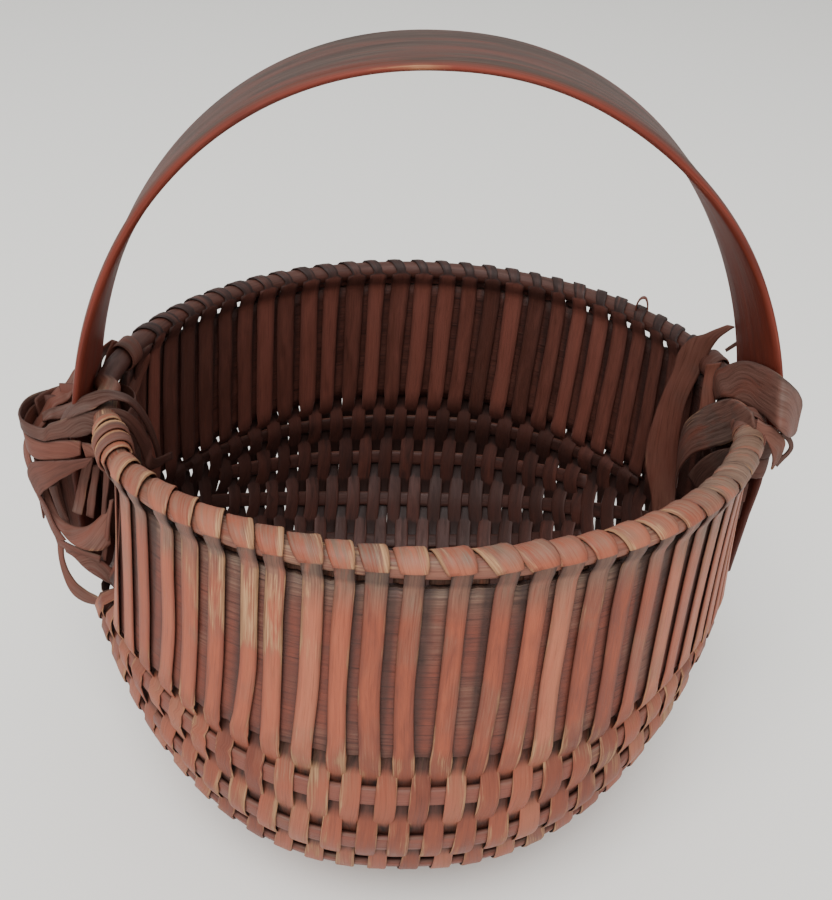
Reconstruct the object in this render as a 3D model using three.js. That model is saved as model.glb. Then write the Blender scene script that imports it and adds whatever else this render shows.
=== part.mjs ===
import * as THREE from "three";

// A small rib basket with two lobes. One bent band is handle and keel, a round rod is the rim, and
// shaped ribs run from ear to ear below it. Thin splints are woven over and under the ribs and are
// turned round the rim. Millimetres, +Z up, X along the handle, Y to the back. Heights are counted
// from the rim while the pieces are made, and the finished basket is then stood on its lobes.

// Rim rod
const rimHalfLength = 88.9;
const rimHalfWidthFront = 77.2;
const rimHalfWidthBack = 86;
const rimRodRadius = 3;

// Handle and keel, one band. It stands a little outside the rim's ends, which are lashed to it
const bandFromRim = 4.8;
const bandTop = 91.3;
const bandWidestHeight = -32;
const bandThickness = 2.9;
const handleWidth = 28;
const keelWidth = 20;
const handleRoundness = 2.13;
const bandHalfSpan = (rimHalfLength + bandFromRim) / handleReach(0);
const keelStartAngle = 0.06;

// Section through the middle of the body
const bodyDepth = 124.5;
const keelDepth = 108;
const lobeSettled = 0.8;
const lobeRadius = 49;
const lobeOffsetFront = 37;
const lobeOffsetBack = 44.8;
const wallMeetsLobe = THREE.MathUtils.degToRad(8);
const lobeLeaves = THREE.MathUtils.degToRad(-97);
const wallPull = 35;
const cleftPull = 10;
const ridgePull = 16;

// How the body narrows towards the ears
const wallOutsideRim = 5.6;
const bodyReach = rimHalfLength + wallOutsideRim;
const spanPower = 2.4;
const depthPower = 0.88;
const poleSpread = 12;
const sidewaysLean = 0.047;

// Ribs. The narrow ones are counted from the wide rib down to the bottom and on up to the keel
const wideRibTop = 5.5;
const wideRibWidth = 48;
const wideRibThickness = 1.6;
const wideRibFromBand = 1.75;
const narrowerHalfWidth = Math.min(rimHalfWidthFront, rimHalfWidthBack);
const wideRibTip = Math.asin((handleWidth / 2 + wideRibFromBand) / narrowerHalfWidth);
const narrowRibWidth = 5;
const narrowRibThickness = 2.2;
const outerRibCount = 6;
const innerRibCount = 1;
const ribCount = outerRibCount + innerRibCount;
const middleRib = outerRibCount / 2;
const allRibs = Array.from({ length: ribCount }, (unused, index) => index + 1);
const firstGapShare = 0.75;
const ribToGapShare = 0.6;
const thinnestRibShare = 0.45;
const ribTipRows = 0.45;

// Woven splints
const rowCount = 56;
const rowsPerSplint = 4;
const splintWidth = 3.6;
const splintThickness = 0.7;
const clearance = 0.3;
const crestRoom = 0.15;
const lieOn = splintThickness / 2 + clearance;
const seatPassCount = 4;
const keelRoom = 0.8;
const rowPackingShare = 0.8;
const drawInShare = 0.95;
const restRib = outerRibCount;
const restHalfLength = 1.8;
const restAngle = 0.2;
const wornFlat = 0.4;

// The turns over the rim
const turnSide = rimRodRadius + lieOn;
const turnTop = turnSide + 0.65;
const turnShoulder = 2.2;
const splintStart = 0.6;

// Ears, the lashing where the rim crosses the handle
const lashingWidth = 6.5;
const lashingRise = 11.5;
const lashingTilt = Math.atan2(lashingRise, handleWidth / 2);
const lashingClear = 1.5;
const lashingInsideClear = 1.9;
const lashingLayer = 1.8;
const lashingSlackRight = 2.2;
const lashingSlackLeft = 7.5;
const lashingInsideShare = 0.2;
const pocketWidth = 8;
const upperPocketHeight = -27.5;
const lowerPocketHeight = upperPocketHeight - pocketWidth - 2;
const pocketPlaces = [0.3, 3.8].map((degrees) => wideRibTip + THREE.MathUtils.degToRad(degrees));
const rimTurnFrontWidth = 4;
const rimTurnBackWidth = 6.4;
const rimTurnClear = 1.3;
const looseWidth = 4.5;
const looseTop = lowerPocketHeight - 0.5;
const looseBottomLeft = -59;
const looseBottomRight = -48;
const looseSwellLeft = 7;
const looseSwellRight = 3;
const longStrapWidth = 9;
const longStrapLength = 42;
const longStrapPlaces = [3, 9.8].map((degrees) => wideRibTip + THREE.MathUtils.degToRad(degrees));

// The first row of weaving comes straight after the turns of the lashing round the rim
const firstRowClear = 2.7;
const firstRowFromBand = handleWidth / 2 + rimTurnClear + firstRowClear;
const firstRowAngle = Math.max(
  Math.asin((firstRowFromBand + rimTurnFrontWidth) / rimHalfWidthFront),
  Math.asin((firstRowFromBand + rimTurnBackWidth) / rimHalfWidthBack),
);

// Colours of the painted oak
const bandColour = 0x7a4a3c;
const rodColour = 0x8a5443;
const ribColour = 0x7d4335;
const splintColours = [0xa8604e, 0x9c5546, 0xb06a55, 0x94503f];

const middle = Math.PI / 2;
const wideRibEnd = wideRibTop + wideRibWidth;

// The share of the band's half span that the handle reaches at a height from the rim
function handleReach(height) {
  const rise = Math.max(0, (height - bandWidestHeight) / (bandTop - bandWidestHeight));
  return (1 - rise ** handleRoundness) ** (1 / handleRoundness);
}

// The outline of one side of the body, from the rim down round the lobe to the keel
function makeSide(direction, rimHalfWidth, lobeOffset) {
  const centre = new THREE.Vector2(lobeOffset, lobeRadius - bodyDepth);
  const alongLobe = (angle) => new THREE.Vector2(-Math.sin(angle), Math.cos(angle));
  const fromCentre = (angle) => new THREE.Vector2(Math.cos(angle), Math.sin(angle));
  const onLobe = (angle) => fromCentre(angle).multiplyScalar(lobeRadius).add(centre);
  const start = onLobe(wallMeetsLobe);
  const wallControl = start.clone().addScaledVector(alongLobe(wallMeetsLobe), wallPull);
  const end = onLobe(lobeLeaves);
  const cleftControl = end.clone().addScaledVector(alongLobe(lobeLeaves), -cleftPull);
  const path = new THREE.Path();
  path.moveTo(rimHalfWidth, 0);
  path.quadraticCurveTo(wallControl.x, wallControl.y, start.x, start.y);
  path.absarc(centre.x, centre.y, lobeRadius, wallMeetsLobe, lobeLeaves, true);
  path.bezierCurveTo(cleftControl.x, cleftControl.y, ridgePull, -keelDepth, 0, -keelDepth);
  const length = path.getLength();
  const bottom = path.curves[0].getLength() + lobeRadius * (wallMeetsLobe + middle);
  const pitch = (bottom - wideRibEnd) / (outerRibCount - 1 + firstGapShare);
  const inwardPitch = (length - keelWidth / 2 - bottom) / (innerRibCount + 1);
  const ribPlace = (number) => {
    const fromBottom = number - outerRibCount;
    return bottom + fromBottom * (fromBottom < 0 ? pitch : inwardPitch);
  };
  const wallEdge = path.getPoint(wideRibEnd / length).y;
  return { direction, path, length, pitch, ribPlace, wallEdge };
}

const front = makeSide(-1, rimHalfWidthFront, lobeOffsetFront);
const back = makeSide(1, rimHalfWidthBack, lobeOffsetBack);
const keelEnd = (front.wallEdge + back.wallEdge) / 2;

// How much of its full size the section keeps at an angle, 1 in the middle and 0 at the ears.
// The rim is an ellipse, and the ribs below it run to a point
function lobeShare(angle, low) {
  const across = Math.abs(Math.cos(angle)) ** THREE.MathUtils.lerp(2, spanPower, low);
  return (1 - across) ** THREE.MathUtils.lerp(0.5, depthPower, low);
}

// A point of the body's middle surface: run is the distance down from the rim on the middle section,
// and angle goes from the right ear at 0 to the left ear at pi
function bodyPoint(side, run, angle) {
  const flat = side.path.getPoint(Math.min(run / side.length, 1));
  const low = Math.min(run / wideRibEnd, 1);
  const below = Math.max(0, (run - wideRibEnd) / (side.length - wideRibEnd));
  const wallReach = THREE.MathUtils.lerp(rimHalfLength, bodyReach, low);
  const reach = THREE.MathUtils.lerp(wallReach, bandHalfSpan, below);
  const across = Math.cos(angle);
  const share = lobeShare(angle, low);
  const x = reach * across;
  const foot = Math.min(poleSpread * low, flat.x);
  const y = side.direction * (foot + (flat.x - foot) * share);
  const pole = run < wideRibEnd ? flat.y : THREE.MathUtils.lerp(side.wallEdge, keelEnd, below);
  const z = Math.max(pole + (flat.y - pole) * share, lobeSettled - bodyDepth);
  return leaned(new THREE.Vector3(x, y, z));
}

// The body hangs a little to one side under the rim
function leaned(point) {
  if (point.z < 0) point.x += sidewaysLean * point.z;
  return point;
}

// Directions on that surface: along the ribs, down the section, and out of the basket
function bodyFrame(side, run, angle) {
  const step = 0.4;
  const turn = 0.004;
  const down = bodyPoint(side, Math.min(run + step, side.length), angle);
  down.sub(bodyPoint(side, Math.max(run - step, 0), angle)).normalize();
  const along = bodyPoint(side, run, angle + turn).sub(bodyPoint(side, run, angle - turn)).normalize();
  const out = new THREE.Vector3().crossVectors(down, along).multiplyScalar(side.direction).normalize();
  return { along, down, out };
}

// A closed body swept through stations, each with a centre, an across and an out direction,
// a width and a thickness
const strap = [[0.5, 0.5], [-0.5, 0.5], [-0.5, -0.5], [0.5, -0.5]];
const whittled = [[0.5, 0], [0.2, 0.5], [-0.2, 0.5], [-0.5, 0], [-0.2, -0.5], [0.2, -0.5]];
const octagon = Array.from({ length: 8 }, (unused, corner) => {
  const angle = ((corner + 0.5) * Math.PI) / 4;
  return [Math.cos(angle) / 2, Math.sin(angle) / 2];
});

function sweep(stations, outline, isRing = false, lowest = -Infinity) {
  const corners = outline.length;
  const positions = [];
  for (const { centre, across, out, width, thickness } of stations) {
    for (const [sideways, outwards] of outline) {
      const point = centre.clone().addScaledVector(across, sideways * width);
      point.addScaledVector(out, outwards * thickness);
      positions.push(point.x, point.y, Math.max(point.z, lowest));
    }
  }
  const faces = [];
  const rings = isRing ? stations.length : stations.length - 1;
  for (let ring = 0; ring < rings; ring += 1) {
    const here = ring * corners;
    const next = ((ring + 1) % stations.length) * corners;
    for (let corner = 0; corner < corners; corner += 1) {
      const beside = (corner + 1) % corners;
      faces.push(here + corner, next + corner, next + beside);
      faces.push(here + corner, next + beside, here + beside);
    }
  }
  if (!isRing) {
    const last = (stations.length - 1) * corners;
    for (let corner = 1; corner < corners - 1; corner += 1) {
      faces.push(0, corner, corner + 1);
      faces.push(last, last + corner + 1, last + corner);
    }
  }
  return facingOut(positions, faces);
}

function facingOut(positions, faces) {
  const corner = (index) => new THREE.Vector3().fromArray(positions, 3 * index);
  let volume = 0;
  for (let face = 0; face < faces.length; face += 3) {
    const [a, b, c] = [0, 1, 2].map((step) => corner(faces[face + step]));
    volume += a.dot(b.cross(c));
  }
  if (volume < 0) faces.reverse();
  const geometry = new THREE.BufferGeometry();
  geometry.setAttribute("position", new THREE.Float32BufferAttribute(positions, 3));
  geometry.setIndex(faces);
  geometry.computeVertexNormals();
  return geometry;
}

const basket = new THREE.Group();

function addPiece(name, geometry, colour, roughness = 0.75) {
  const material = new THREE.MeshStandardMaterial({ color: colour, roughness, metalness: 0 });
  const mesh = new THREE.Mesh(geometry, material);
  mesh.name = name;
  basket.add(mesh);
}

// Handle and keel
function bandCentreline() {
  const archSteps = 38;
  const keelSteps = 26;
  const points = [];
  const rise = bandTop - bandWidestHeight;
  for (let step = 0; step <= archSteps; step += 1) {
    const angle = (Math.PI * step) / archSteps;
    const across = Math.cos(angle);
    const x = bandHalfSpan * Math.sign(across) * Math.abs(across) ** (2 / handleRoundness);
    const z = bandWidestHeight + rise * Math.sin(angle) ** (2 / handleRoundness);
    points.push({ point: leaned(new THREE.Vector3(x, 0, z)), width: handleWidth });
  }
  for (let step = 0; step <= keelSteps; step += 1) {
    const angle = THREE.MathUtils.lerp(Math.PI - keelStartAngle, keelStartAngle, step / keelSteps);
    points.push({ point: bodyPoint(front, front.length, angle).setY(0), width: keelWidth });
  }
  return points;
}

function makeBand() {
  const points = bandCentreline();
  const count = points.length;
  const across = new THREE.Vector3(0, 1, 0);
  const stations = points.map(({ point, width }, index) => {
    const before = points[(index + count - 1) % count].point;
    const after = points[(index + 1) % count].point;
    const out = new THREE.Vector3().crossVectors(across, after.clone().sub(before)).normalize();
    return { centre: point, across, out, width, thickness: bandThickness };
  });
  return sweep(stations, strap, true);
}

addPiece("handle_hoop", makeBand(), bandColour, 0.65);

// Rim rod
function makeRim() {
  const halfSteps = 20;
  const across = new THREE.Vector3(0, 0, 1);
  const diameter = (2 * rimRodRadius) / Math.cos(Math.PI / 8);
  const stations = [];
  for (const side of [front, back]) {
    for (let step = 0; step < halfSteps; step += 1) {
      const share = step / halfSteps;
      const angle = Math.PI * (side === front ? share : 1 - share);
      const centre = bodyPoint(side, 0, angle);
      const out = new THREE.Vector3(Math.cos(angle) / rimHalfLength, centre.y / rimHalfWidthFront ** 2, 0);
      stations.push({ centre, across, out: out.normalize(), width: diameter, thickness: diameter });
    }
  }
  return sweep(stations, octagon, true);
}

addPiece("rim_hoop", makeRim(), rodColour);

// One wide flat rib on each side, close under the rim
function makeWideRib(side) {
  const steps = 24;
  const stations = [];
  for (let step = 0; step <= steps; step += 1) {
    const angle = wideRibTip + ((Math.PI - 2 * wideRibTip) * step) / steps;
    const upper = bodyPoint(side, wideRibTop, angle);
    const lower = bodyPoint(side, wideRibEnd, angle);
    const across = lower.clone().sub(upper);
    const width = across.length();
    const { along } = bodyFrame(side, (wideRibTop + wideRibEnd) / 2, angle);
    const out = new THREE.Vector3().crossVectors(across, along).normalize();
    stations.push({
      centre: upper.add(lower).multiplyScalar(0.5),
      across: across.normalize(),
      out,
      width,
      thickness: wideRibThickness,
    });
  }
  return sweep(stations, strap);
}

addPiece("wide_rib_front", makeWideRib(front), ribColour);
addPiece("wide_rib_back", makeWideRib(back), ribColour);

// The rows of weaving. Near the ears only a few ribs are in, and the others are set in
// between them as the lobes widen
const ribStages = [
  { fromShare: 0, ribs: [middleRib, outerRibCount] },
  { fromShare: 0.38, ribs: [1, middleRib, outerRibCount] },
  { fromShare: 0.6, ribs: allRibs },
];

function rowAngle(row, low = 1) {
  const step = (Math.PI - 2 * firstRowAngle) / (rowCount - 1);
  const fromMiddle = firstRowAngle + row * step - middle;
  return middle + fromMiddle * THREE.MathUtils.lerp(1, drawInShare, low);
}

function ribsInRow(row) {
  const share = lobeShare(rowAngle(row), 1);
  return ribStages.filter((stage) => share >= stage.fromShare).at(-1).ribs;
}

function firstRowOf(rib) {
  let row = 0;
  while (!ribsInRow(row).includes(rib)) row += 1;
  return row;
}

function ribSize(side, run, angle) {
  const below = bodyPoint(side, run + side.pitch / 2, angle);
  const gap = below.distanceTo(bodyPoint(side, run - side.pitch / 2, angle));
  const width = Math.min(narrowRibWidth, ribToGapShare * gap);
  const thickness = narrowRibThickness * THREE.MathUtils.lerp(thinnestRibShare, 1, width / narrowRibWidth);
  return { width, thickness };
}

function makeNarrowRib(side, rib) {
  const steps = 16;
  const tip = rowAngle(firstRowOf(rib) - ribTipRows);
  const run = side.ribPlace(rib);
  const stations = [];
  for (let step = 0; step <= steps; step += 1) {
    const angle = tip + ((Math.PI - 2 * tip) * step) / steps;
    const { down, out } = bodyFrame(side, run, angle);
    stations.push({ centre: bodyPoint(side, run, angle), across: down, out, ...ribSize(side, run, angle) });
  }
  return sweep(stations, whittled);
}

for (const rib of allRibs) {
  addPiece(`rib_front_${rib}`, makeNarrowRib(front, rib), ribColour);
  addPiece(`rib_back_${rib}`, makeNarrowRib(back, rib), ribColour);
}

// Where a splint crosses a piece of the frame. Even rows face out and odd rows face in, so that a
// splint keeps one face up where it turns round the rim
function splintWidthAt(side, run, row, low) {
  const before = bodyPoint(side, run, rowAngle(row - 0.5, low));
  const spacing = bodyPoint(side, run, rowAngle(row + 0.5, low)).distanceTo(before);
  return Math.min(splintWidth, rowPackingShare * spacing);
}

function crossingAt(side, run, row, kind, half = 0) {
  const low = Math.min(run / wideRibEnd, 1);
  const angle = rowAngle(row, low);
  const { along, down, out } = bodyFrame(side, run, angle);
  return {
    kind,
    half,
    along,
    down,
    out,
    foot: bodyPoint(side, run, angle),
    size: ribSize(side, run, angle),
    width: splintWidthAt(side, run, row, low),
    facing: row % 2 === 0 ? out : out.clone().negate(),
  };
}

function sideCrossings(side, row) {
  const crossings = [crossingAt(side, wideRibEnd, row, "wide")];
  for (const rib of ribsInRow(row)) {
    const isRest = rib === restRib && Math.abs(rowAngle(row) - middle) < restAngle;
    crossings.push(crossingAt(side, side.ribPlace(rib), row, "narrow", isRest ? restHalfLength : 0));
  }
  return crossings;
}

function keelCrossing(side, row) {
  const crossing = crossingAt(side, side.length, row, "keel");
  crossing.foot.y = side.direction * (keelWidth / 2 + keelRoom);
  return crossing;
}

// A splint lies on each narrow rib just high enough to clear its shoulders on the way to the next
const leastHeight = {
  wide: wideRibThickness / 2 + lieOn,
  keel: bandThickness / 2 + lieOn,
};

function seatCrossings(crossings) {
  for (const crossing of crossings) {
    crossing.height = leastHeight[crossing.kind] ?? crossing.size.thickness / 2 + lieOn;
    crossing.centre = crossing.foot.clone().addScaledVector(crossing.out, crossing.over * crossing.height);
  }
  for (let pass = 0; pass < seatPassCount; pass += 1) {
    crossings.forEach((crossing, index) => {
      if (crossing.kind !== "narrow") return;
      const { size, half } = crossing;
      for (const next of [crossings[index - 1], crossings[index + 1]]) {
        const way = next.centre.clone().sub(crossing.foot);
        const rise = way.dot(crossing.out) * crossing.over;
        const reach = Math.abs(way.dot(crossing.down)) - half;
        const slope = (crossing.height - rise) / reach;
        for (const [sideways, outwards] of whittled.slice(0, 2)) {
          const share = Math.max(0, sideways * size.width - half) / reach;
          const clear = outwards * size.thickness + (lieOn + crestRoom) * Math.hypot(1, slope);
          crossing.height = Math.max(crossing.height, (clear - rise * share) / (1 - share));
        }
      }
      crossing.centre = crossing.foot.clone().addScaledVector(crossing.out, crossing.over * crossing.height);
    });
  }
}

function rowStations(row) {
  const backHalf = [...sideCrossings(back, row), keelCrossing(back, row)];
  const frontHalf = [...sideCrossings(front, row), keelCrossing(front, row)];
  const face = row % 2 === 0 ? 1 : -1;
  for (const half of [backHalf, frontHalf]) {
    half.forEach((crossing, index) => {
      crossing.over = index % 2 === 0 ? face : -face;
    });
  }
  const crossings = [...backHalf, ...frontHalf.reverse()];
  seatCrossings(crossings);
  const stations = [];
  crossings.forEach(({ centre, down, along, facing, width, half }, index) => {
    const station = { across: along, out: facing, width, thickness: splintThickness, rests: half > 0 };
    const onward = index < backHalf.length ? 1 : -1;
    const places = half > 0 ? [-half * onward, half * onward] : [0];
    for (const place of places) {
      stations.push({ ...station, centre: centre.clone().addScaledVector(down, place) });
    }
  });
  return row % 2 === 0 ? stations : stations.reverse();
}

// The turn over the rim rod, from one row to the next
function turnStation(side, row, outward, height, facingOutward, facingUp) {
  const angle = rowAngle(row, 0);
  const { along } = bodyFrame(side, 0, angle);
  const outOfRim = new THREE.Vector3(along.y, -along.x, 0).normalize();
  const centre = bodyPoint(side, 0, angle);
  if (outOfRim.dot(centre) < 0) outOfRim.negate();
  centre.addScaledVector(outOfRim, outward).setZ(height);
  const out = outOfRim.clone().multiplyScalar(facingOutward).setZ(facingUp).normalize();
  const width = splintWidthAt(side, 0, row, 0);
  return { centre, across: along, out, width, thickness: splintThickness };
}

function turnOver(side, row) {
  const outer = row % 2 === 0 ? row : row + 1;
  const inner = row % 2 === 0 ? row + 1 : row;
  const turn = [
    turnStation(side, outer, turnSide, turnShoulder, 1, 0.5),
    turnStation(side, row + 0.5, 0, turnTop, 0, 1),
    turnStation(side, inner, -turnSide, turnShoulder, -1, 0.5),
    turnStation(side, inner, -turnSide, -turnShoulder, -1, 0),
  ];
  return row % 2 === 0 ? turn : turn.reverse();
}

function makeSplint(first) {
  const stations = [turnStation(back, first, turnSide, splintStart, 1, 0)];
  for (let row = first; row < first + rowsPerSplint; row += 1) {
    stations.push(...rowStations(row));
    const turn = turnOver(row % 2 === 0 ? front : back, row);
    stations.push(...(row < rowCount - 1 ? turn : turn.slice(0, 1)));
  }
  return stations;
}

const splints = [];
for (let first = 0; first < rowCount; first += rowsPerSplint) splints.push(makeSplint(first));
const resting = splints.flat().filter(({ rests }) => rests);
const lowestCentre = Math.min(...resting.map(({ centre }) => centre.z));
const table = lowestCentre - splintThickness / 2 + wornFlat;

for (let first = 0; first < rowCount; first += rowsPerSplint) {
  const number = String(first / rowsPerSplint + 1).padStart(2, "0");
  const colour = splintColours[(first / rowsPerSplint) % splintColours.length];
  addPiece(`splint_${number}`, sweep(splints[first / rowsPerSplint], strap, false, table), colour);
}

// The band beside an ear, at a height from the rim: a point across it and out of its centre line
function besideBand(ear, across, height, outwards = 0) {
  const onCentreline = (level) => {
    const fall = Math.max(0, (keelEnd - level) / (keelEnd + keelDepth));
    const keelReach = (1 - fall ** (1 / depthPower)) ** (1 / spanPower);
    const reach = bandHalfSpan * handleReach(level) * keelReach;
    return leaned(new THREE.Vector3(ear * reach, 0, level));
  };
  const up = onCentreline(height + 0.5).sub(onCentreline(height - 0.5)).normalize();
  const out = new THREE.Vector3(0, ear, 0).cross(up).normalize();
  const point = onCentreline(height).setY(across).addScaledVector(out, outwards);
  return { point, up, out };
}

// A splint through given places, each with its point and the direction across the splint
function ribbon(places, width, isRing) {
  const count = places.length;
  return places.map(({ point, sideways }, index) => {
    const before = places[isRing ? (index + count - 1) % count : Math.max(index - 1, 0)].point;
    const after = places[isRing ? (index + 1) % count : Math.min(index + 1, count - 1)].point;
    const along = after.clone().sub(before).normalize();
    const across = sideways.clone().addScaledVector(along, -sideways.dot(along)).normalize();
    const out = new THREE.Vector3().crossVectors(along, across);
    return { centre: point, across, out, width, thickness: splintThickness };
  });
}

// Two lashings cross in an X outside the band and pass inside the rim rod
const bandSide = handleWidth / 2 + lashingClear;
const overBand = bandThickness / 2 + lieOn + crestRoom;
const insideRim = bandFromRim + rimRodRadius + lieOn + lashingInsideClear;

function makeCross(ear, lean, layer) {
  const lift = layer * lashingLayer;
  const slack = ear > 0 ? lashingSlackRight : lashingSlackLeft;
  const side = bandSide + (lashingWidth / 2) * Math.sin(lashingTilt) + lift;
  const path = [
    [-side, -overBand],
    [-side, bandThickness / 2],
    ...[-1, -0.5, 0, 0.5, 1].map((share) => {
      return [(share * handleWidth) / 2, overBand + lift + slack * (1 - share ** 2)];
    }),
    [side, bandThickness / 2],
    [side, -overBand],
    [lashingInsideShare * side, -insideRim - lift],
    [-lashingInsideShare * side, -insideRim - lift],
  ];
  const sideways = besideBand(ear, 0, 0).up.setY(-lean * Math.tan(lashingTilt));
  const places = path.map(([across, outwards]) => {
    const { point } = besideBand(ear, across, lean * across * Math.tan(lashingTilt), outwards);
    return { point, sideways };
  });
  return sweep(ribbon(places, lashingWidth, true), strap, true);
}

// Straps round the outside of the band are tucked in behind the tips of the wide ribs
function makePocket(ear, height) {
  const half = (direction) => {
    const side = direction < 0 ? front : back;
    const insideRib = (fromEar) => {
      const angle = ear > 0 ? fromEar : Math.PI - fromEar;
      const { out, down } = bodyFrame(side, -height, angle);
      const depth = wideRibThickness / 2 + lieOn + 2 * crestRoom;
      return { point: bodyPoint(side, -height, angle).addScaledVector(out, -depth), sideways: down };
    };
    const onBand = (across, outwards) => {
      const { point, up } = besideBand(ear, direction * across, height, outwards);
      return { point, sideways: up.negate() };
    };
    const corner = [onBand(handleWidth / 2, overBand), onBand(bandSide, bandThickness / 2)];
    return [...corner, onBand(bandSide, -overBand), ...pocketPlaces.map(insideRib)];
  };
  return sweep(ribbon([...half(-1).reverse(), ...half(1)], pocketWidth, false), strap);
}

// The lashing ends in a turn round the rim rod on each side of the band
function makeRimTurn(ear, direction) {
  const corners = 8;
  const side = direction < 0 ? front : back;
  const halfWidth = direction < 0 ? rimHalfWidthFront : rimHalfWidthBack;
  const width = direction < 0 ? rimTurnFrontWidth : rimTurnBackWidth;
  const fromEar = Math.asin((handleWidth / 2 + rimTurnClear + width / 2) / halfWidth);
  const angle = ear > 0 ? fromEar : Math.PI - fromEar;
  const { along } = bodyFrame(side, 0, angle);
  const outOfRim = new THREE.Vector3(along.y, -along.x, 0).normalize();
  const rodCentre = bodyPoint(side, 0, angle);
  const size = (rimRodRadius + lieOn) / Math.cos(Math.PI / corners);
  const places = Array.from({ length: corners }, (unused, corner) => {
    const turn = ((corner + 0.5) * 2 * Math.PI) / corners;
    const point = rodCentre.clone().addScaledVector(outOfRim, size * Math.cos(turn));
    point.z += size * Math.sin(turn);
    return { point, sideways: along };
  });
  return sweep(ribbon(places, width, true), strap, true);
}

// A loose end of the lashing hangs in a bow below each ear
function makeLooseEnd(ear) {
  const bottom = ear > 0 ? looseBottomRight : looseBottomLeft;
  const swell = ear > 0 ? looseSwellRight : looseSwellLeft;
  const steps = 8;
  const places = [];
  for (let step = 0; step <= steps; step += 1) {
    const share = step / steps;
    const height = THREE.MathUtils.lerp(looseTop, bottom, share);
    const off = THREE.MathUtils.lerp(lashingLayer, 0, share) + swell * Math.sin(Math.PI * share);
    const { point } = besideBand(ear, -handleWidth / 4, height, overBand + off);
    places.push({ point, sideways: new THREE.Vector3(0, 1, 0) });
  }
  return sweep(ribbon(places, looseWidth, false), strap);
}

// On the right a long strap of the lashing runs down inside the back wall
function makeLongStrap() {
  const steps = 6;
  const depth = wideRibThickness / 2 + splintThickness + 4 * lieOn;
  const places = [];
  for (let step = 0; step <= steps; step += 1) {
    const share = step / steps;
    const run = wideRibTop + longStrapLength * share;
    const angle = THREE.MathUtils.lerp(...longStrapPlaces, share);
    const { out, along } = bodyFrame(back, run, angle);
    const point = bodyPoint(back, run, angle).addScaledVector(out, -depth);
    places.push({ point, sideways: along });
  }
  return sweep(ribbon(places, longStrapWidth, false), strap);
}

for (const [earName, ear] of [["right", 1], ["left", -1]]) {
  addPiece(`ear_${earName}_lashing_under`, makeCross(ear, 1, 0), rodColour);
  addPiece(`ear_${earName}_lashing_over`, makeCross(ear, -1, 1), rodColour);
  addPiece(`ear_${earName}_strap_upper`, makePocket(ear, upperPocketHeight), rodColour);
  addPiece(`ear_${earName}_strap_lower`, makePocket(ear, lowerPocketHeight), rodColour);
  addPiece(`ear_${earName}_rim_turn_front`, makeRimTurn(ear, -1), rodColour);
  addPiece(`ear_${earName}_rim_turn_back`, makeRimTurn(ear, 1), rodColour);
  addPiece(`ear_${earName}_loose_end`, makeLooseEnd(ear), rodColour);
}

addPiece("ear_right_long_strap", makeLongStrap(), ribColour);

// Stand the basket on its lobes, over the middle of its footprint
const bounds = new THREE.Box3().setFromObject(basket);
const centre = bounds.getCenter(new THREE.Vector3());
basket.position.set(-centre.x, -centre.y, -bounds.min.z);

export default basket;
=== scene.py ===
# Two-lobed rib basket of split oak in old barn-red paint, on a pale floor in soft daylight
import math
from functools import partial

import bpy
import numpy as np
from mathutils import Matrix


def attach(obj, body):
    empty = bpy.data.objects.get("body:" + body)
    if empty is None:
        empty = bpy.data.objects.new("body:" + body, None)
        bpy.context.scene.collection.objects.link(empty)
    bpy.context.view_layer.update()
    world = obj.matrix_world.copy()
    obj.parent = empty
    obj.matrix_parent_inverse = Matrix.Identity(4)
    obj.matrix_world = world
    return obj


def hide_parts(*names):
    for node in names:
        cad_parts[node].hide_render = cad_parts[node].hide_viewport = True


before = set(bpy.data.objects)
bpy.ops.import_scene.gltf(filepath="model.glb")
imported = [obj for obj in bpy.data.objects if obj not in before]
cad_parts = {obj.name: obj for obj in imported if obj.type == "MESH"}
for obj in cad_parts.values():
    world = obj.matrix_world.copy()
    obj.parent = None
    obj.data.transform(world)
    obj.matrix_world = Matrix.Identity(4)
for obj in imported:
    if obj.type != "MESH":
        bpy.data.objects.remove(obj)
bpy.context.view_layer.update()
chance = np.random.default_rng(1871)  # the same small irregularities on every run
print("frame loaded:", len(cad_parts), "pieces")

# Everything is worked out in millimetres and in the basket's own frame, then set down on the floor
metre = 0.001
standing = np.array([4.122, -3.895, 125.746])  # from the middle of the rim to the part's frame
middle = math.pi / 2
wholeTurn = 2 * math.pi


def mix(a, b, share):
    return a + (b - a) * share


def ease(value):
    value = np.clip(value, 0, 1)
    return value * value * (3 - 2 * value)


def unit(vectors):
    return vectors / np.linalg.norm(vectors, axis=-1, keepdims=True)


def squareTo(vectors, along):
    return vectors - np.sum(vectors * along, -1, keepdims=True) * along


# A curve that sets out from the first corner and arrives at the last
def bend(share, *corners):
    while len(corners) > 1:
        corners = [mix(here, ahead, share) for here, ahead in zip(corners, corners[1:])]
    return corners[0]


# Distance from the start of a line of points
def lengthsAlong(points):
    return np.concatenate([[0], np.cumsum(np.linalg.norm(np.diff(points, axis=0), axis=1))])


# Random values at even knots, read off at any place between the ends
def wavering(places, start, end, knots, amount=1):
    return np.interp(places, np.linspace(start, end, knots), chance.uniform(-amount, amount, knots))


def placeByAxes(right, up, away, place):
    return Matrix([[right[i], up[i], away[i], place[i]] for i in range(3)] + [[0, 0, 0, 1]])


# Camera
view = {
    "focalPixels": 1012.94, "longSidePixels": 900, "sensorWidth": 36, "nearestSeen": 10,
    "distance": 284.29, "lookDown": 29.301, "turned": -2.738, "rolled": 2.353, "pan": (6.505, -59.961),
}


def levelAxes(forward):
    right = unit(np.cross(forward, (0, 0, 1)))
    return right, np.cross(right, forward)


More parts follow.
